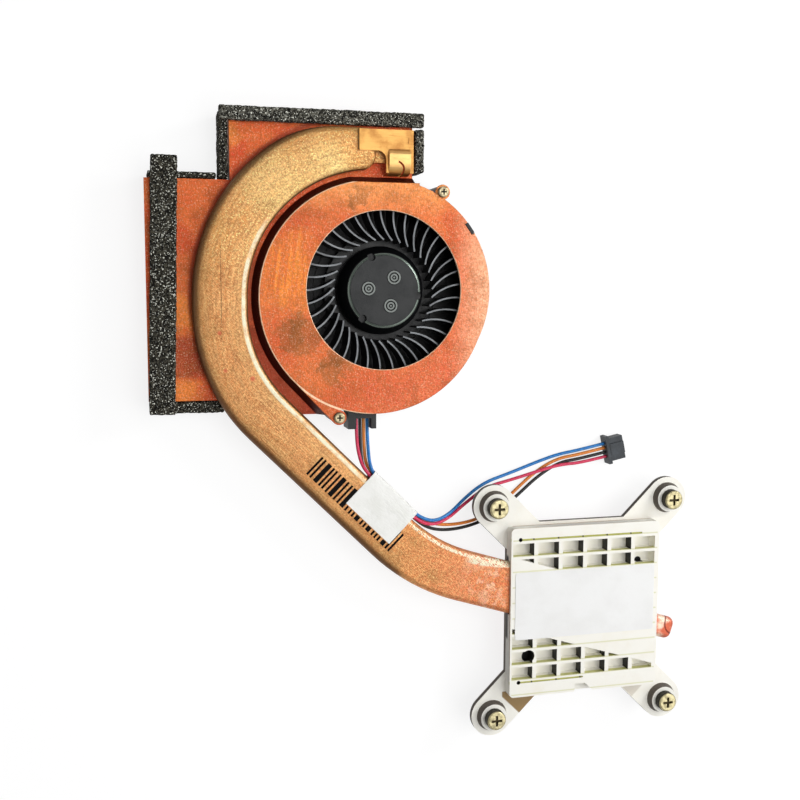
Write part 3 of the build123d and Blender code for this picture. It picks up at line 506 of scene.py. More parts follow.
@dataclass(frozen=True)
class ClipSheet(PlainMetal):
    """Bent sheet clip: a painted highlight on its raised bridge, and painted shade along the cut edges that
    face the pipe.
    """

    base: Colour = tint(206, 158, 90)
    dull: Colour = tint(158, 96, 46)
    wear: float = 0.6
    # painted highlight colour of the raised bridge
    pale: Colour = tint(255, 208, 136)
    # painted shade colour of the cut edges
    cut: Colour = tint(48, 28, 12)
    bridge_mm: Span = (11.95, 12.6)
    left_mm: float = -6.9
    step_mm: Place = (33.0, 0.2)

    def marked(self, graph: Graph, colour: Sock) -> Sock:
        """The colour with the painted highlight on the bridge and the painted shade along the cut edges.

        Args:
            graph: The material's node tree.
            colour: The plain metal's colour.

        Returns:
            The marked colour.
        """
        # painted highlight: the raised bridge is coloured pale
        colour = graph.mix(graph.z.ramp(*self.bridge_mm) * 0.6, colour, self.pale)
        # painted shade: dark along the left cut edge and along the step edge
        front, right = self.step_mm
        step = graph.y.ramp(front + 0.3, front + 0.1) * graph.x.ramp(right, -0.6)
        cut = graph.x.ramp(self.left_mm + 0.4, self.left_mm + 0.15).most(step)
        return graph.mix(cut * 0.85, colour, self.cut)


@dataclass(frozen=True)
class PipeCopper(Finish):
    """Flattened copper pipe: golden in its bend, redder towards the clamp, with a painted highlight along its
    inner edge, painted sheen in its bend and painted shade along its edges.
    """

    base: Colour = tint(220, 140, 78)
    gold: Colour = tint(234, 162, 82)
    pale: Colour = tint(246, 196, 130)
    painted_sheen: Colour = tint(255, 240, 160)
    olive: Colour = tint(158, 118, 62)
    red: Colour = tint(226, 122, 80)
    scarlet: Colour = tint(232, 102, 58)
    rose: Colour = tint(255, 226, 202)
    dark: Colour = tint(142, 78, 42)
    outer: Colour = tint(78, 46, 22)
    highlight_cream: Colour = tint(255, 248, 214)
    crease: Colour = tint(120, 36, 24)
    nub: Colour = tint(214, 106, 74)
    bend_mm: Place = PIPE_BEND_MM
    turn_mm: Place = (-2.56, -4.6)
    radii_mm: Span = (31.85, 45.4)
    straight_mm: Span = (6.0, 3.0)
    clamp_turn_mm: Disc = (36.51, -28.95, 42.1)
    sheen_mm: tuple[Disc, ...] = ((-28.5, 26.0, 12.0), (-15.0, 30.0, 9.0))
    nub_mm: Disc = (84.4, -93.4, 3.1)
    nub_from_mm: Span = (75.0, 77.0)
    crease_from_mm: Span = (77.0, 78.0)
    gold_mm: Span = (-4.0, 22.0)
    red_mm: Span = (2.0, 24.0)
    scarlet_mm: Span = (16.0, 30.0)
    rose_mm: Span = (18.0, 30.0)
    rose_end_mm: Span = (40.0, 26.0)
    olive_mm: Span = (20.0, 10.0)
    pale_mm: Span = (24.0, 12.0)
    speck_mm: Span = (-4.0, 18.0)
    # where the painted highlight runs along the inner edge in the bend
    bright_mm: Span = (20.0, 12.0)
    highlight_run_mm: Span = (7.0, 26.0)
    highlight_end_mm: Span = (25.0, 34.0)
    bend_from_mm: Span = (-3.4, -3.1)
    scratch_mm: tuple[float, float, float, float] = (-41.0, -40.9, -7.0, 9.0)
    spots_mm: tuple[Disc, ...] = ((-33.6, -21.7, 0.6), (-41.5, -10.4, 0.5), (-40.2, -19.6, 0.5))

    def reach(self, graph: Graph) -> Sock:
        """Distance in millimetres from the middle of the pipe's curve, carried on along the straight run.

        Args:
            graph: The material's node tree.

        Returns:
            The distance, which is the same all along either edge of the pipe.
        """
        x, y = self.turn_mm
        out = (graph.x + graph.y) * DIAGONAL - (x + y) * DIAGONAL
        back = ((graph.x - graph.y) * DIAGONAL - (x - y) * DIAGONAL).least(0.0)
        turned = graph.maths("SQRT", out * out + back * back)
        in_bend = graph.y.ramp(*self.bend_from_mm)
        return graph.away(*self.bend_mm) * in_bend + turned * (1.0 - in_bend)

    def drawn(self, graph: Graph, layer: float) -> Sock:
        """Long streaks that follow the pipe round its bend, from 0 to 1.

        Args:
            graph: The material's node tree.
            layer: Which set of streaks, as any number.

        Returns:
            The streaks.
        """
        place = graph.node(
            "ShaderNodeCombineXYZ", {0: self.reach(graph) * 1.7, 1: graph.y * 0.16, 2: layer + graph.x * 0.05}
        )
        return graph.noise(1.0, 4.0, Sock(graph, place.outputs[0])).ramp(0.44, 0.66)

    def painted_highlight(self, graph: Graph, near: Sock, hatch: Sock) -> Sock:
        """Painted highlight along the pipe's inner edge and on to the clamp.

        Args:
            graph: The material's node tree.
            near: Distance from the inner edge in millimetres.
            hatch: Rolling marks, which break the line up.

        Returns:
            1 along the line.
        """
        x, y, radius = self.clamp_turn_mm
        turned = graph.away(x, y) - radius
        broken = graph.noise(130.0, 4.0).ramp(0.36, 0.54)
        bend = near.band(0.9, 1.5, 0.35) * graph.y.ramp(*self.bright_mm) * graph.x.ramp(*self.straight_mm)
        run = turned.band(0.9, 1.4, 0.35) * graph.x.band(*self.highlight_run_mm, 3.0) * hatch.ramp(0.2, 0.6)
        end = turned.band(0.9, 2.6, 0.5) * graph.x.band(*self.highlight_end_mm, 4.0) * hatch.ramp(0.1, 0.5)
        return (bend * (0.25 + broken * 0.75)).most(run).most(end)

    def make(self) -> bpy.types.Material:
        """Makes the rubbed pipe copper.

        Returns:
            The material.
        """
        graph = Graph(self.name)
        cloud = graph.noise(60.0, 6.0).ramp(0.38, 0.64)
        patch = graph.noise(170.0, 5.0).ramp(0.5, 0.68)
        fleck = graph.noise(2400.0, 3.0).ramp(0.42, 0.64)
        hatch = graph.hatch(-45.0)
        reach = self.reach(graph)
        near = reach - self.radii_mm[0]
        far = self.radii_mm[1] - reach
        straight = graph.x.ramp(*self.straight_mm)
        pallid = patch.most(graph.noise(420.0, 4.0).ramp(0.5, 0.6) * graph.x.ramp(*self.rose_end_mm))
        lit = 0.2 + cloud * 0.4 + hatch * 0.4
        # painted sheen: bright golden patches in the bend
        painted_sheens = (graph.away(x, y).ramp(radius, radius * 0.2) * lit for x, y, radius in self.sheen_mm)
        scratch = graph.x.band(*self.scratch_mm[:2], 0.12) * graph.y.band(*self.scratch_mm[2:], 2.0)
        # painted glints: pale specks, most of them in the bend
        speck = graph.noise(2300.0, 2.0).ramp(0.57, 0.66) * (0.25 + graph.y.ramp(*self.speck_mm) * 0.6)
        painted_highlight = self.painted_highlight(graph, near, hatch)
        folded = (graph.away(*self.nub_mm[:2]) - self.nub_mm[2]).band(-0.15, 0.15, 0.15)
        colour = graph.layers(
            self.base,
            (graph.y.ramp(*self.gold_mm) * (0.5 + cloud * 0.5), self.gold),
            (graph.x.ramp(*self.red_mm) * 0.85, self.red),
            (graph.x.ramp(*self.scarlet_mm) * 0.6, self.scarlet),
            (graph.x.ramp(*self.rose_mm) * pallid * 0.6, self.rose),
            (patch * graph.x.ramp(*self.olive_mm) * 0.5, self.olive),
            *((painted_sheen, self.painted_sheen) for painted_sheen in painted_sheens),
            # painted highlight: a broad pale band beside the inner edge
            (near.ramp(6.5, 1.5) * graph.y.ramp(*self.pale_mm) * straight * 0.4, self.pale),
            (self.drawn(graph, 3.0) * straight * 0.45, self.dark),
            (self.drawn(graph, 9.0) * straight * 0.5, self.pale),
            (hatch * 0.5, self.pale),
            (fleck * 0.46, self.dark),
            (scratch * 0.55, self.outer),
            (speck, self.painted_sheen),
            *((graph.disc(*spot, 0.2) * 0.8, self.nub) for spot in self.spots_mm),
            # painted shade: darker towards the outer edge, darkest along the edge itself
            (far.ramp(7.0, 1.0) * straight * (0.3 + cloud * 0.25), self.olive),
            (far.ramp(2.6, 0.4) * straight * 0.85, self.outer),
            # painted highlight along the inner edge, where the metal is made matt cream
            (painted_highlight, self.highlight_cream),
            # painted shade: a thin dark line at the very inner edge
            (near.ramp(0.5, 0.25) * straight * 0.7, self.outer),
            (graph.x.ramp(*self.nub_from_mm), graph.mix(patch, self.nub, self.rose)),
            # painted shade in the crease of the pinched end
            (folded * graph.x.ramp(*self.crease_from_mm) * 0.85, self.crease),
        )
        return graph.finish(
            Base_Color=colour,
            Metallic=0.6 - painted_highlight * 0.55,
            Roughness=0.36 + patch * 0.12 + fleck * 0.1,
            Normal=graph.bump(hatch + fleck * 0.6, 0.00004),
        )


@dataclass(frozen=True)
class CastMetal(Finish):
    """Bright plated casting: white faces and olive edges along the pockets, with painted shade in brown on
    the outer walls and the sides of bosses and lugs, in black on the pocket walls, the block's lower left
    wall and the holes, and in tan on the lugs beside the block.
    """

    base: Colour = tint(250, 248, 240)
    warm: Colour = tint(216, 194, 140)
    olive: Colour = tint(196, 196, 104)
    brown: Colour = tint(58, 44, 30)
    tan: Colour = tint(146, 116, 68)
    edging: Colour = tint(150, 104, 58)
    black: Colour = tint(8, 6, 5)
    middle_mm: Place = CLAMP_MM
    half_mm: Place = (21.3, 22.9)
    top_mm: float = 12.4
    floor_mm: float = 9.0
    pitch_mm: Place = (7.15, 4.28)
    right_wall_mm: float = -15.275
    front_wall_mm: float = -1.3
    holes_mm: tuple[Disc, ...] = ((-16.4, -12.1, 1.7), (-19.2, 20.3, 0.55), (-19.2, -19.3, 0.55))
    pins_mm: tuple[Disc, ...] = ((-15.2, -13.3, 1.9), (17.1, 11.7, 1.0), (17.4, 10.6, 1.1))
    shaded_mm: tuple[tuple[float, float, float, float], ...] = (
        (-22.5, -11.5, -29.9, 0.95), (12.5, 20.5, -28.0, 0.3),
    )
    grooves_mm: Span = (20.3, -19.3)
    boss_mm: Span = (9.12, 10.9)
    lug_mm: Span = (7.56, 8.88)
    black_end_mm: Span = (17.0, 15.0)
    olive_mm: float = 10.9
    under_mm: tuple[Span, Span] = ((-7.0, 15.0), (9.0, 10.3))
    left_line_mm: tuple[Span, Span] = ((-14.0, 9.0), (11.8, 12.05))
    rear_line_mm: tuple[Span, Span] = ((21.0, 20.0), (9.1, 9.5))

    def spot(self, graph: Graph, x: float, y: float) -> Sock:
        """Distance from a place that is given from the clamp's middle, in millimetres."""
        return graph.away(self.middle_mm[0] + x, self.middle_mm[1] + y)

    def make(self) -> bpy.types.Material:
        """Makes the plated casting.

        Returns:
            The material.
        """
        graph = Graph(self.name)
        skin = graph.noise(1500.0, 4.0)
        cloud = graph.noise(150.0, 5.0).ramp(0.45, 0.68)
        across = graph.x - self.middle_mm[0]
        along = graph.y - self.middle_mm[1]
        (wide, deep), floor, top = self.half_mm, self.floor_mm, self.top_mm
        inside = abs(across).ramp(wide + 0.1, wide - 0.1) * abs(along).ramp(deep + 0.1, deep - 0.1)
        clear = abs(across).ramp(wide + 0.5, wide + 0.9).most(abs(along).ramp(deep + 0.5, deep + 0.9))
        right = (across - self.right_wall_mm).wave(self.pitch_mm[0]).ramp(0.3, 0.08)
        right = right * across.ramp(*self.black_end_mm)
        front = (along - self.front_wall_mm).wave(self.pitch_mm[1]).ramp(0.3, 0.08)
        left = across.ramp(-wide + 0.25, -wide + 0.05)
        under, lined = (
            left * along.band(*length, 1.0) * graph.z.band(*height, 0.1)
            for length, height in (self.under_mm, self.left_line_mm)
        )
        rear = along.ramp(deep - 0.25, deep - 0.05) * abs(across).ramp(*self.rear_line_mm[0])
        lined = lined.most(rear * graph.z.band(*self.rear_line_mm[1], 0.1))
        cut = graph.z.band(top - 0.5, top - 0.1, 0.05)
        colour = graph.layers(
            self.base,
            (cloud * 0.08, self.warm),
            (graph.z.band(top - 0.24, top - 0.06, 0.03) * 0.75, self.warm),
            (front * inside * graph.z.band(self.olive_mm, top - 0.1, 0.2) * 0.85, self.olive),
            *((abs(along - place).ramp(0.45, 0.3) * cut * 0.9, self.olive) for place in self.grooves_mm),
            # painted shade: brown on the sides of the bosses and the outer walls, and on the sides of the
            # lugs
            (graph.z.band(*self.boss_mm, 0.06) * clear * 0.9, self.brown),
            (graph.z.band(*self.lug_mm, 0.06) * (1.0 - inside) * 0.9, self.brown),
            # painted shade: black on the lower part of the block's left wall
            (under * 0.95, self.black),
            (lined * 0.7, self.edging),
            # painted shade: black on the pocket walls that face left
            (right * inside * graph.z.band(floor + 0.12, top - 0.08, 0.08) * 0.97, self.black),
        )
        # painted shade: black on the walls of the holes
        wall = graph.z.band(floor + 0.1, top - 0.2, 0.1)
        for x, y, radius in self.holes_mm:
            hole = self.spot(graph, x, y).ramp(radius + 0.2, radius + 0.05)
            colour = graph.mix(hole * wall, colour, self.black)
        # black discs on the pocket floors: the first is painted shade under the peg hole, the others are
        # black pin marks
        sunk = inside * graph.z.ramp(floor + 1.6, floor + 1.4)
        for x, y, radius in self.pins_mm:
            pin = self.spot(graph, x, y).ramp(radius + 0.1, radius - 0.1)
            colour = graph.mix(pin * sunk, colour, self.black)
        flat = graph.z.band(floor - 0.05, floor + 0.05, 0.1)
        for start, end, low, strength in self.shaded_mm:
            face = across.band(start, end, 0.3) * along.band(low, -deep, 0.2)
            slope = (along - low - abs(across - (start + end) / 2)).ramp(-0.3, 0.3)
            colour = graph.mix(face * slope * flat * strength, colour, self.tan)
        return graph.finish(
            Base_Color=colour,
            Metallic=0.1,
            Roughness=0.5 + skin * 0.12,
            Normal=graph.bump(skin, 0.00003),
            Specular_IOR_Level=0.2,
        )


@dataclass(frozen=True)
class Moulded(Finish):
    """Moulded plastic with a fine spark-eroded texture."""

    base: Colour
    worn: Colour
    roughness: float = 0.42
    texture: float = 0.00003

    def make(self) -> bpy.types.Material:
        """Makes the moulded plastic.

        Returns:
            The material.
        """
        graph = Graph(self.name)
        skin = graph.noise(3200.0, 3.0)
        cloud = graph.noise(180.0, 4.0).ramp(0.45, 0.75)
        return graph.finish(
            Base_Color=graph.mix(cloud * 0.5, self.base, self.worn),
            Roughness=self.roughness + skin * 0.16,
            Normal=graph.bump(skin, self.texture),
        )


@dataclass(frozen=True)
class ImpellerPlastic(Finish):
    """Near-black moulded plastic: a charcoal hub, painted highlights on the blade top edges and on the raised
    rings of the mould marks, and painted shade on the sunk ground of those marks.
    """

    base: Colour = tint(13, 14, 16)
    hub: Colour = tint(20, 23, 24)
    mark: Colour = tint(168, 174, 170)
    sunk: Colour = tint(4, 5, 5)
    # painted highlight colour of the blade top edges
    edge: Colour = tint(150, 154, 158)
    rim: Colour = tint(112, 122, 114)
    blade_top_mm: float = 9.8
    blade_in_mm: float = 12.2
    hub_top_mm: float = 10.8
    rim_mm: Span = (8.95, 9.35)
    pip_reach_mm: float = 4.15
    pip_mm: float = 1.75
    pip_turns: tuple[float, ...] = (53.0, 173.0, 293.0)

    def pip(self, graph: Graph, turn: float) -> Sock:
        """1 on the sunk ground of one of the hub's mould marks, which lies at that turn in degrees."""
        x, y = (self.pip_reach_mm * way(math.radians(turn)) for way in (math.cos, math.sin))
        return graph.away(x, y).ramp(self.pip_mm + 0.2, self.pip_mm)

    def make(self) -> bpy.types.Material:
        """Makes the impeller plastic.

        Returns:
            The material.
        """
        graph = Graph(self.name)
        skin = graph.noise(2600.0, 3.0)
        dust = graph.noise(260.0, 5.0).ramp(0.38, 0.68)
        radius = graph.away(0.0, 0.0)
        on_blade = radius.ramp(self.blade_in_mm - 0.2, self.blade_in_mm + 0.2)
        top = graph.z.ramp(self.blade_top_mm - 0.12, self.blade_top_mm - 0.03) * on_blade
        hub = (1.0 - on_blade) * graph.z.ramp(self.hub_top_mm - 0.7, self.hub_top_mm - 0.05)
        raised = graph.z.ramp(self.hub_top_mm + 0.12, self.hub_top_mm + 0.24)
        sunk = reduce(Sock.most, (self.pip(graph, turn) for turn in self.pip_turns))
        upper = graph.z.ramp(self.hub_top_mm - 0.75, self.hub_top_mm - 0.55)
        rim = radius.band(*self.rim_mm, 0.12) * upper
        colour = graph.layers(
            self.base,
            (hub * (0.75 + dust * 0.25), self.hub),
            # painted shade on the sunk ground of the mould marks
            (sunk, self.sunk),
            # painted highlight on the raised rings of the mould marks
            (raised * 0.7, self.mark),
            (rim, self.rim),
            # painted highlight: the blade top edges are coloured pale
            (top * (0.55 + dust * 0.45), self.edge),
        )
        return graph.finish(
            Base_Color=colour,
            Metallic=rim * 0.9,
            Roughness=0.24 + skin * 0.14 * (1.0 - rim) + dust * 0.1 + sunk * 0.4,
            Normal=graph.bump(skin * (1.0 - rim), 0.00003),
            Specular_IOR_Level=0.3,
        )


@dataclass(frozen=True)
class OpenFoam(Finish):
    """Charcoal open-cell foam with pale broken cell walls."""

    base: Colour = tint(74, 71, 61)
    pit: Colour = tint(4, 4, 3)
    speck: Colour = tint(238, 238, 226)

    def make(self) -> bpy.types.Material:
        """Makes the foam.

        Returns:
            The material.
        """
        graph = Graph(self.name)
        pits = graph.cells(1900.0).ramp(0.62, 0.28)
        fine = graph.noise(2600.0, 3.0)
        clump = graph.noise(700.0, 3.0).ramp(0.42, 0.62)
        hollow = graph.noise(1300.0, 2.0).ramp(0.52, 0.4)
        glint = graph.noise(2500.0, 2.0).ramp(0.604, 0.632)
        colour = graph.layers(
            self.base,
            (pits * (0.65 + clump * 0.35), self.pit),
            (hollow * 0.8, self.pit),
            (glint * 0.95, self.speck),
        )
        return graph.finish(
            Base_Color=colour,
            Roughness=0.86 + fine * 0.1,
            Normal=graph.bump((1.0 - pits) + fine * 0.5, 0.0003),
            Specular_IOR_Level=0.2,
        )


@dataclass(frozen=True)
class PaperLike(Finish):
    """Thin paper or tape with fibres and faint creases."""

    base: Colour
    shade: Colour
    fibre: float = 0.00002
    crease_scale: float = 90.0

    def make(self) -> bpy.types.Material:
        """Makes the paper.

        Returns:
            The material.
        """
        graph = Graph(self.name)
        fibres = graph.noise(1.0, 4.0, graph.stretched((900.0, 3400.0, 900.0), -45.0))
        crease = graph.noise(self.crease_scale, 3.0).ramp(0.35, 0.7)
        return graph.finish(
            Base_Color=graph.mix(crease * 0.35 + fibres.ramp(0.55, 0.8) * 0.3, self.base, self.shade),
            Roughness=0.62 + fibres * 0.12,
            Normal=graph.bump(fibres + crease * 0.8, self.fibre),
        )


@dataclass(frozen=True)
class Insulation(Finish):
    """Soft wire insulation, slightly glossy, with a drawn grain."""

    base: Colour
    pale: Colour

    def make(self) -> bpy.types.Material:
        """Makes the insulation.

        Returns:
            The material.
        """
        graph = Graph(self.name)
        skin = graph.noise(1400.0, 3.0)
        return graph.finish(
            Base_Color=graph.mix(skin.ramp(0.45, 0.75) * 0.4, self.base, self.pale),
            Roughness=0.34 + skin * 0.14,
            Normal=graph.bump(skin, 0.00002),
        )


@dataclass(frozen=True)
class ThreadedSteel(Finish):
    """Plated screw steel: a bright turned top, painted shade on the side of the head and in its recess, a
    fine thread on the shank.
    """

    base: Colour = tint(206, 195, 152)
    dark: Colour = tint(92, 84, 62)
    side: Colour = tint(10, 9, 8)
    recess: Colour = tint(96, 84, 56)
    pitch_mm: float = 0.45
    head_mm: Span = (11.0, 13.0)
    recess_mm: float = 1.75
    places_mm: tuple[Place, ...] = ()

    def make(self) -> bpy.types.Material:
        """Makes the screw steel.

        Returns:
            The material.
        """
        graph = Graph(self.name)
        cloud = graph.noise(820.0, 4.0).ramp(0.42, 0.62)
        shank = graph.z.ramp(self.head_mm[0], self.head_mm[0] - 0.2)
        thread = graph.z.wave(self.pitch_mm) * (2.0 / self.pitch_mm) * shank
        side = graph.z.band(*self.head_mm, 0.2)
        inner = (graph.disc(*place, self.recess_mm, 0.1) for place in self.places_mm)
        colour = graph.layers(
            self.base,
            (cloud * 0.42 + thread * 0.3, self.dark),
            # painted shade: near-black on the side of the head
            (side * 0.95, self.side),
            # painted shade in the cross recess, in a lighter brown
            *((mask * side * 0.9, self.recess) for mask in inner),
        )
        return graph.finish(
            Base_Color=colour,
            Metallic=0.8 - side * 0.8,
            Roughness=0.3 + cloud * 0.16 + side * 0.4,
            Normal=graph.bump(thread + cloud * 0.1, 0.00018),
        )


@dataclass(frozen=True)
class Winding(Finish):
    """Enamelled copper wire wound in fine turns."""

    base: Colour = tint(176, 88, 44)
    gap: Colour = tint(70, 28, 14)
    pitch_mm: float = 0.16

    def make(self) -> bpy.types.Material:
        """Makes the winding.

        Returns:
            The material.
        """
        graph = Graph(self.name)
        turns = graph.away(0.0, 0.0).wave(self.pitch_mm) * (2.0 / self.pitch_mm)
        return graph.finish(
            Base_Color=graph.mix(1.0 - turns, self.base, self.gap),
            Metallic=0.8,
            Roughness=0.3 + graph.noise(900.0) * 0.1,
            Normal=graph.bump(turns, 0.00008),
        )


@dataclass(frozen=True)
class BarInk(Finish):
    """Matt black print, thin in places."""

    base: Colour = tint(6, 5, 5)
    thin: Colour = tint(40, 24, 16)

    def make(self) -> bpy.types.Material:
        """Makes the ink.

        Returns:
            The material.
        """
        graph = Graph(self.name)
        worn = graph.noise(1300.0, 4.0).ramp(0.58, 0.75)
        return graph.finish(
            Base_Color=graph.mix(worn * 0.6, self.base, self.thin),
            Roughness=0.6 + worn * 0.1,
            Specular_IOR_Level=0.1,
        )


@dataclass(frozen=True)
class Wire:
    """A fan wire: insulation, real length in metres, and points from the guide to the plug in millimetres."""

    base: Colour
    pale: Colour
    length: float
    route: tuple[Point, ...]


class FanWire(Enum):
    """The four fan wires, on the same points as the CAD tubes."""

    RED = Wire(
        tint(220, 44, 88), tint(244, 112, 140), 0.0974, (
            (-6.55, -32.6, 6.8), (-6.5, -36.6, 6.8), (-6.4, -40.8, 7.8), (-5.6, -44.9, 9.5),
            (-3.32, -47.87, 10.2), (1.91, -53.24, 10.25), (7.28, -58.48, 10.2), (12.6, -61.9, 8.8),
            (18.6, -61.2, 5.6), (24.8, -57.2, 3.2), (31.0, -53.4, 2.2), (38.4, -51.9, 1.6),
            (45.6, -49.9, 1.9), (52.6, -48.2, 1.8), (59.354, -47.994, 1.6), (68.157, -46.122, 1.6),
        ),
    )
    BLACK = Wire(
        tint(22, 22, 24), tint(52, 52, 56), 0.0997, (
            (-5.6, -32.6, 6.8), (-5.55, -36.6, 6.8), (-5.45, -41.0, 7.2), (-5.3, -45.0, 8.2),
            (-3.32, -47.87, 9.15), (1.91, -53.24, 9.2), (7.28, -58.48, 9.1), (12.6, -62.9, 7.2),
            (19.6, -64.6, 3.9), (27.8, -63.9, 1.8), (35.2, -60.9, 0.9), (41.0, -56.2, 0.6),
            (46.6, -51.4, 0.55), (53.0, -47.7, 0.6), (59.094, -46.771, 1.6), (67.897, -44.9, 1.6),
        ),
    )
    ORANGE = Wire(
        tint(226, 128, 40), tint(246, 178, 92), 0.0977, (
            (-4.65, -32.6, 6.8), (-4.6, -36.6, 6.8), (-4.5, -41.0, 7.2), (-4.35, -44.7, 8.2),
            (-2.69, -47.23, 9.15), (2.55, -52.61, 9.2), (7.92, -57.84, 9.1), (13.3, -61.6, 7.2),
            (20.2, -63.2, 3.9), (28.0, -62.7, 1.9), (34.7, -59.6, 1.0), (40.0, -55.0, 0.6),
            (45.4, -50.4, 0.55), (52.0, -46.7, 0.6), (58.834, -45.548, 1.6), (67.637, -43.677, 1.6),
        ),
    )
    BLUE = Wire(
        tint(16, 118, 196), tint(96, 180, 232), 0.0955, (
            (-3.7, -32.6, 6.8), (-3.65, -36.6, 6.8), (-3.6, -40.8, 7.8), (-3.65, -44.2, 9.5),
            (-2.69, -47.23, 10.2), (2.55, -52.61, 10.25), (7.92, -57.84, 10.2), (13.3, -60.9, 8.8),
            (19.0, -60.0, 5.6), (24.6, -55.9, 3.0), (30.4, -52.3, 1.7), (38.0, -50.2, 0.9),
            (46.2, -47.4, 0.6), (52.6, -45.4, 0.7), (58.574, -44.325, 1.6), (67.377, -42.454, 1.6),
        ),
    )

    @property
    def node(self) -> str:
        """The wire's CAD node, also passed on as its material slot."""
        return f"wire_{self.name.lower()}"

    def finish(self) -> Insulation:
        """The wire's insulation."""
        return Insulation(f"insulation_{self.name.lower()}", self.value.base, self.value.pale)


def link(obj: bpy.types.Object, material: bpy.types.Material, slot: str) -> bpy.types.Object:
    """Puts a new piece in the scene on the fixed body.

    Args:
        obj: The new piece.
        material: Its material.
        slot: The record's material slot for the piece; not used.

    Returns:
        The same piece.
    """
    bpy.context.scene.collection.objects.link(obj)
    obj.data.materials.append(material)
    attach(obj, BODY)
    LOG.info("built %s in %s", obj.name, material.name)
    return obj


@dataclass
class Dressing:
    """Better materials for the CAD nodes that keep their shape."""

    nodes: dict[str, bpy.types.Object]

    def apply(self, finish: Finish, *names: str) -> None:
        """Gives the named nodes one finish.

        Args:
            finish: The finish to make.
            *names: CAD node names.
        """
        material = finish.make()
        for name in names:
            for slot in self.nodes[name].material_slots:
                slot.material = material
            LOG.info("dressed %s in %s", name, finish.name)

    def dress(self) -> None:
        """Dresses every node of the cooler."""
        screws = [f"clamp_screw_{number}" for number in range(1, 5)]
        rings = [f"screw_ring_{number}" for number in range(1, 5)]
        black = tint(20, 21, 22)
        self.apply(CopperSheet("copper_sheet"), "cover_plate")
        self.apply(PipeCopper("copper_pipe"), "heat_pipe")
        self.apply(
            PlainMetal("copper_fins", tint(204, 118, 76), tint(150, 76, 44)),
            "fin_stack_left",
            "fin_stack_rear",
        )
        self.apply(ClipSheet("clip_brass"), "pipe_end_clip")
        self.apply(
            PlainMetal("copper_plate", tint(214, 128, 88), tint(160, 84, 54), 0.24, 20.0), "cold_plate"
        )
        self.apply(CastMetal("cast_clamp"), "processor_clamp")
        (x, y), (wide, deep) = CLAMP_MM, LUG_REACH_MM
        lugs = tuple((x + side, y + end) for side in (-wide, wide) for end in (-deep, deep))
        self.apply(ThreadedSteel("screw_steel", places_mm=lugs), *screws)
        self.apply(
            ThreadedSteel("cover_screw_steel", tint(186, 172, 138), head_mm=(11.4, 12.05)), "cover_screws"
        )
        self.apply(Moulded("ring_plastic", black, tint(52, 52, 52)), *rings)
        self.apply(Moulded("black_housing", black, tint(46, 46, 48)), "fan_housing")
        self.apply(ImpellerPlastic("black_impeller"), "impeller")
        self.apply(PlainMetal("yoke_steel", tint(176, 176, 178), tint(104, 104, 108)), "rotor_yoke")
        self.apply(Moulded("magnet", tint(52, 52, 54), tint(84, 82, 80), 0.6), "rotor_magnet")
        self.apply(PlainMetal("shaft_steel", tint(214, 214, 216), tint(150, 150, 154), 0.16), "motor_shaft")
        self.apply(
            PlainMetal("bronze_sleeve", tint(192, 150, 92), tint(126, 92, 52), 0.4), "bearing_sleeve"
        )
        self.apply(PlainMetal("core_steel", tint(150, 150, 156), tint(80, 80, 86), 0.4), "stator_core")
        self.apply(Winding("coil_copper"), "stator_coils")
        self.apply(Moulded("board", tint(20, 92, 52), tint(30, 116, 70), 0.3), "motor_board")
        self.apply(Moulded("pad_plastic", tint(214, 212, 204), tint(184, 180, 170)), "thrust_pad")
        self.apply(PaperLike("label_paper", tint(250, 250, 249), tint(232, 231, 228)), "clamp_label")
        self.apply(
            PaperLike("tape_film", tint(255, 255, 251), tint(230, 231, 222), 0.00006, 240.0), "wire_tape"
        )
        self.apply(Moulded("plug_black", tint(34, 40, 46), tint(70, 78, 86), 0.4), "plug_housing")
        self.apply(PlainMetal("contact_tin", tint(214, 212, 206), tint(150, 146, 138)), "plug_contacts")


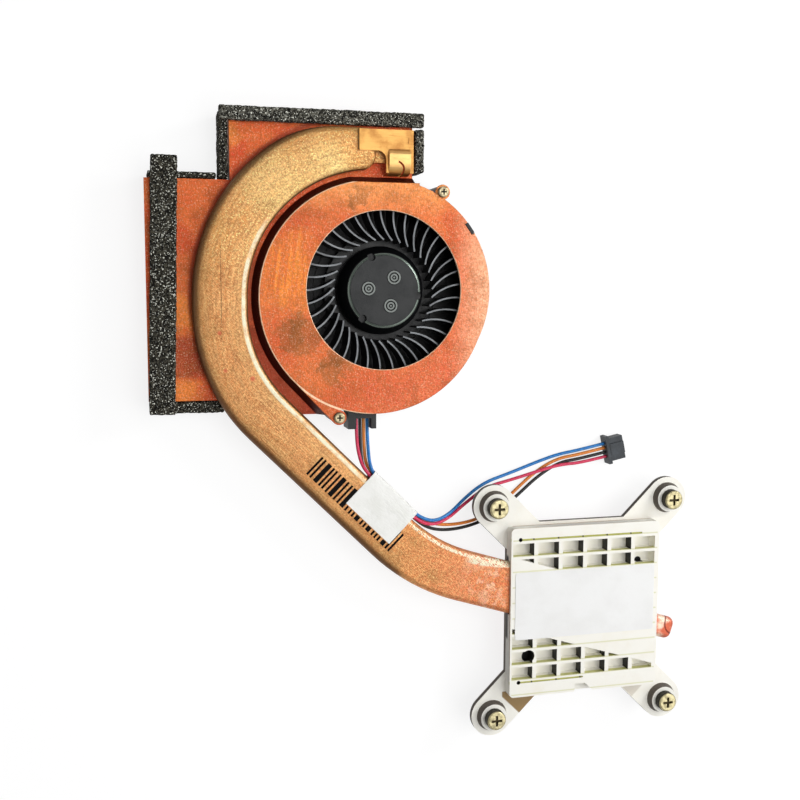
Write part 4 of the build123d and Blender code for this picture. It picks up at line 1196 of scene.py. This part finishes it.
@dataclass
class FoamSeals:
    """Foam strips round the two outlets, with soft corners and an open, torn surface."""

    nodes: tuple[str, ...]
    step: float = 0.42 * MM
    corner: float = 0.7 * MM
    tear: float = 0.6 * MM
    tear_scales: Span = (1300.0, 260.0)
    tear_shares: Span = (0.7, 0.3)
    lean: dict[str, float] = field(default_factory=lambda: {"foam_left_top": 1.5})
    dusty: tuple[str, ...] = ("foam_rear_top", "foam_rear_right")
    dust: Colour = tint(106, 104, 94)

    def build(self) -> None:
        """Builds each strip in the space of its CAD solid."""
        clean = OpenFoam("foam").make()
        dusty = OpenFoam("foam_dusty", self.dust).make()
        for name in self.nodes:
            material = dusty if name in self.dusty else clean
            low, high = (Vector(corner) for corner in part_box(name))
            lean = math.radians(self.lean.get(name, 0.0))
            obj = link(self.strip(name, *self.upright(low, high, lean), lean), material, "foam")
            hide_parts(name)

    def upright(self, low: Vector, high: Vector, lean: float) -> tuple[Vector, Vector]:
        """Corners that a strip has before it leans, from the box round it once it does.

        Args:
            low: Lowest corner of the box round the leaning strip.
            high: Its highest corner.
            lean: The lean in radians.

        Returns:
            The lowest and the highest corner of the strip set square.
        """
        cos, sin = math.cos(lean), math.sin(lean)
        wide, deep, tall = high - low
        square = cos * cos - sin * sin
        size = Vector(((wide * cos - deep * sin) / square, (deep * cos - wide * sin) / square, tall))
        middle = (low + high) / 2
        return middle - size / 2, middle + size / 2

    def strip(self, name: str, low: Vector, high: Vector, lean: float) -> bpy.types.Object:
        """One foam strip.

        Args:
            name: The CAD node it stands for.
            low: The strip's lowest corner, set square.
            high: Its highest corner.
            lean: How far it turns clockwise about its middle, in radians.

        Returns:
            The strip's mesh object.
        """
        mesh = bmesh.new()
        size = high - low
        bmesh.ops.create_cube(
            mesh, size=1.0, matrix=Matrix.Translation((low + high) / 2) @ Matrix.Diagonal((*size, 1.0))
        )
        for axis in range(3):
            normal = Vector(1.0 if axis == other else 0.0 for other in range(3))
            count = max(2, round(size[axis] / self.step))
            for cut in range(1, count):
                bmesh.ops.bisect_plane(
                    mesh,
                    geom=mesh.verts[:] + mesh.edges[:] + mesh.faces[:],
                    plane_co=low + normal * (size[axis] * cut / count),
                    plane_no=normal,
                )
        for vert in mesh.verts:
            vert.co = self.soften(vert.co, low, high)
        for face in mesh.faces:
            face.smooth = True
        bmesh.ops.rotate(mesh, verts=mesh.verts, cent=(low + high) / 2, matrix=Matrix.Rotation(-lean, 3, "Z"))
        data = bpy.data.meshes.new(f"{name}_soft")
        mesh.to_mesh(data)
        mesh.free()
        return bpy.data.objects.new(f"{name}_soft", data)

    def soften(self, point: Vector, low: Vector, high: Vector) -> Vector:
        """Rounds a point of the box in towards its corners and tears the surface a little.

        Args:
            point: A point on the box.
            low: The box's lowest corner.
            high: The box's highest corner.

        Returns:
            The moved point, never outside the box.
        """
        inner = Vector(
            min(max(point[axis], low[axis] + self.corner), high[axis] - self.corner) for axis in range(3)
        )
        out = (point - inner).normalized()
        torn, broad = (0.5 + 0.5 * noise.noise(point * scale) for scale in self.tear_scales)
        depth = self.tear_shares[0] * torn + self.tear_shares[1] * broad
        return inner + out * (self.corner - self.tear * depth)


@dataclass
class Harness:
    """The four fan wires, from the guide in the housing to the plug."""

    diameter: float = 0.9 * MM
    round_steps: int = 4
    path_steps: int = 10
    order: int = 3

    def build(self) -> None:
        """Builds each wire."""
        for wire in FanWire:
            obj = link(self.curve(wire), wire.finish().make(), wire.node)
            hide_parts(wire.node)
            tuple(value * MM for value in wire.value.route[0])

    def curve(self, wire: FanWire) -> bpy.types.Object:
        """One wire as a smooth curve.

        Args:
            wire: Which wire.

        Returns:
            The curve object.
        """
        curve = bpy.data.curves.new(f"{wire.node}_flex", "CURVE")
        curve.dimensions = "3D"
        curve.bevel_depth = self.diameter / 2
        curve.bevel_resolution = self.round_steps
        curve.resolution_u = self.path_steps
        curve.use_fill_caps = True
        spline = curve.splines.new("NURBS")
        spline.points.add(len(wire.value.route) - 1)
        for point, place in zip(spline.points, wire.value.route):
            point.co = (*(value * MM for value in place), 1.0)
        spline.order_u = self.order
        spline.use_endpoint_u = True
        return bpy.data.objects.new(f"{wire.node}_flex", curve)


@dataclass
class PipeBars:
    """Generic printed bars across the pipe's straight run, some of them partly under the tape."""

    start_mm: float = 18.0
    end_mm: float = 48.2
    across_mm: Span = (-47.0, -41.1)
    tape_mm: Span = (31.0, 47.0)
    tape_edge_mm: float = -45.6
    height_mm: float = 11.405
    slope: float = -45.0
    widths_mm: tuple[float, ...] = (0.6, 0.6, 1.3, 0.6, 0.6, 0.6, 1.3)
    gaps_mm: tuple[float, ...] = (0.5, 0.7, 0.5)

    def build(self) -> None:
        """Builds the bars as one thin sheet on the pipe."""
        mesh = bmesh.new()
        place = self.start_mm
        count = 0
        while place < self.end_mm:
            width = self.widths_mm[count % len(self.widths_mm)]
            middle = place + width / 2
            covered = self.tape_mm[0] < middle < self.tape_mm[1]
            self.bar(mesh, place, width, self.tape_edge_mm if covered else self.across_mm[1])
            place += width + self.gaps_mm[count % len(self.gaps_mm)]
            count += 1
        data = bpy.data.meshes.new("pipe_bars")
        mesh.to_mesh(data)
        mesh.free()
        link(bpy.data.objects.new("pipe_bars", data), BarInk("bar_ink").make(), "wire_black")

    def bar(self, mesh: bmesh.types.BMesh, place: float, width: float, top: float) -> None:
        """Adds one bar.

        Args:
            mesh: The mesh to add to.
            place: Where the bar starts along the run, in millimetres.
            width: The bar's width.
            top: Where the bar ends across the run.
        """
        angle = math.radians(self.slope)
        along = Vector((math.cos(angle), math.sin(angle), 0.0))
        across = Vector((-math.sin(angle), math.cos(angle), 0.0))
        level = Vector((0.0, 0.0, self.height_mm))
        end, low = place + width, self.across_mm[0]
        verts = [
            mesh.verts.new((along * run + across * side + level) * MM)
            for run, side in ((place, low), (end, low), (end, top), (place, top))
        ]
        mesh.faces.new(verts)


@dataclass(frozen=True)
class Lamp:
    """A square soft lamp: its place and side in metres, and its power in watts."""

    name: str
    place: Point
    side: float
    power: float

    def build(self, aim: Point) -> None:
        """Puts the lamp in the scene.

        Args:
            aim: The point that it faces, in metres.
        """
        data = bpy.data.lights.new(self.name, "AREA")
        data.size = self.side
        data.energy = self.power
        obj = bpy.data.objects.new(self.name, data)
        obj.location = self.place
        obj.rotation_mode = "QUATERNION"
        obj.rotation_quaternion = (Vector(aim) - Vector(self.place)).to_track_quat("-Z", "Y")
        bpy.context.scene.collection.objects.link(obj)


@dataclass
class Studio:
    """Pale floor, soft light and the photograph's camera."""

    camera_mm: Point = (-61.8, 0.3, 265.0)
    yaw: float = 14.54
    pitch: float = 6.14
    roll: float = 0.145
    lens: float = 46.23
    clip_start: float = 0.01
    floor_half: float = 3.0
    floor_drop: float = 0.00015
    backdrop_share: float = 0.98
    backdrop_height: float = 1.5
    backdrop_sides: int = 64
    floor_grey: float = 0.24
    seen_white: float = 0.82
    world_light: float = 0.18
    aim: Point = (0.01, -0.04, 0.0)
    lamps: tuple[Lamp, ...] = (
        Lamp("key", (0.36, -0.16, 0.52), 0.6, 2.0),
        Lamp("edge", (0.44, 0.2, 0.3), 0.16, 1.1),
        Lamp("sheen", (0.08, 0.1, 0.62), 0.34, 0.95),
        Lamp("fill", (-0.5, -0.05, 0.32), 0.5, 0.4),
    )

    def build(self) -> None:
        """Builds the whole studio."""
        self.surround()
        self.world()
        for lamp in self.lamps:
            lamp.build(self.aim)
        self.camera()
        bpy.context.scene.view_settings.view_transform = "Standard"

    def surround(self) -> None:
        """A white floor just under the cooler, with a round white backdrop that stands on it."""
        floor = bmesh.new()
        bmesh.ops.create_grid(floor, x_segments=1, y_segments=1, size=self.floor_half)
        bmesh.ops.translate(floor, verts=floor.verts, vec=(0.0, 0.0, -self.floor_drop))
        backdrop = bmesh.new()
        bmesh.ops.create_cone(
            backdrop,
            segments=self.backdrop_sides,
            radius1=self.floor_half * self.backdrop_share,
            radius2=self.floor_half * self.backdrop_share,
            depth=self.backdrop_height,
            matrix=Matrix.Translation((0.0, 0.0, self.backdrop_height / 2 - self.floor_drop)),
        )
        material = self.studio_white()
        for name, mesh in (("floor", floor), ("backdrop", backdrop)):
            data = bpy.data.meshes.new(name)
            mesh.to_mesh(data)
            mesh.free()
            data.materials.append(material)
            obj = bpy.data.objects.new(name, data)
            bpy.context.scene.collection.objects.link(obj)

    def studio_white(self) -> bpy.types.Material:
        """White of the floor and backdrop, as pale in reflections as it is to the eye.

        Returns:
            The material.
        """
        graph = Graph("studio_white")
        rays = graph.node("ShaderNodeLightPath")
        seen = Sock(graph, rays.outputs["Is Camera Ray"])
        for kind in ("Is Glossy Ray", "Is Transmission Ray"):
            seen = seen.most(Sock(graph, rays.outputs[kind]))
        return graph.finish(
            Base_Color=grey(self.floor_grey),
            Roughness=0.9,
            Specular_IOR_Level=0.0,
            Emission_Color=graph.mix(seen, grey(0.0), grey(self.seen_white)),
            Emission_Strength=1.0,
        )

    def world(self) -> None:
        """White surroundings."""
        world = bpy.data.worlds.new("studio")
        world.use_nodes = True
        background = world.node_tree.nodes["Background"]
        background.inputs["Color"].default_value = grey(1.0)
        background.inputs["Strength"].default_value = self.world_light
        bpy.context.scene.world = world

    def camera(self) -> None:
        """The camera at the photograph's viewpoint."""
        yaw, pitch, roll = (math.radians(value) for value in (self.yaw, self.pitch, self.roll))
        level = Vector((math.cos(yaw), 0.0, math.sin(yaw)))
        tilt = math.cos(pitch)
        forward = Vector((math.sin(yaw) * tilt, -math.sin(pitch), -math.cos(yaw) * tilt))
        upright = level.cross(forward)
        right = level * math.cos(roll) + upright * math.sin(roll)
        above = right.cross(forward)
        turn = Matrix((right, above, -forward)).transposed().to_4x4()
        data = bpy.data.cameras.new("camera")
        data.lens = self.lens
        data.clip_start = self.clip_start
        obj = bpy.data.objects.new("camera", data)
        obj.matrix_world = Matrix.Translation(Vector(self.camera_mm) * MM) @ turn
        bpy.context.scene.collection.objects.link(obj)
        bpy.context.scene.camera = obj


def main() -> None:
    """Builds the scene."""
    logging.basicConfig(level=logging.INFO)
    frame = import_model()
    Dressing(frame["nodes"]).dress()
    FoamSeals(tuple(name for name in frame["nodes"] if name.startswith("foam_"))).build()
    Harness().build()
    PipeBars().build()
    Studio().build()


if __name__ == "__main__":
    main()
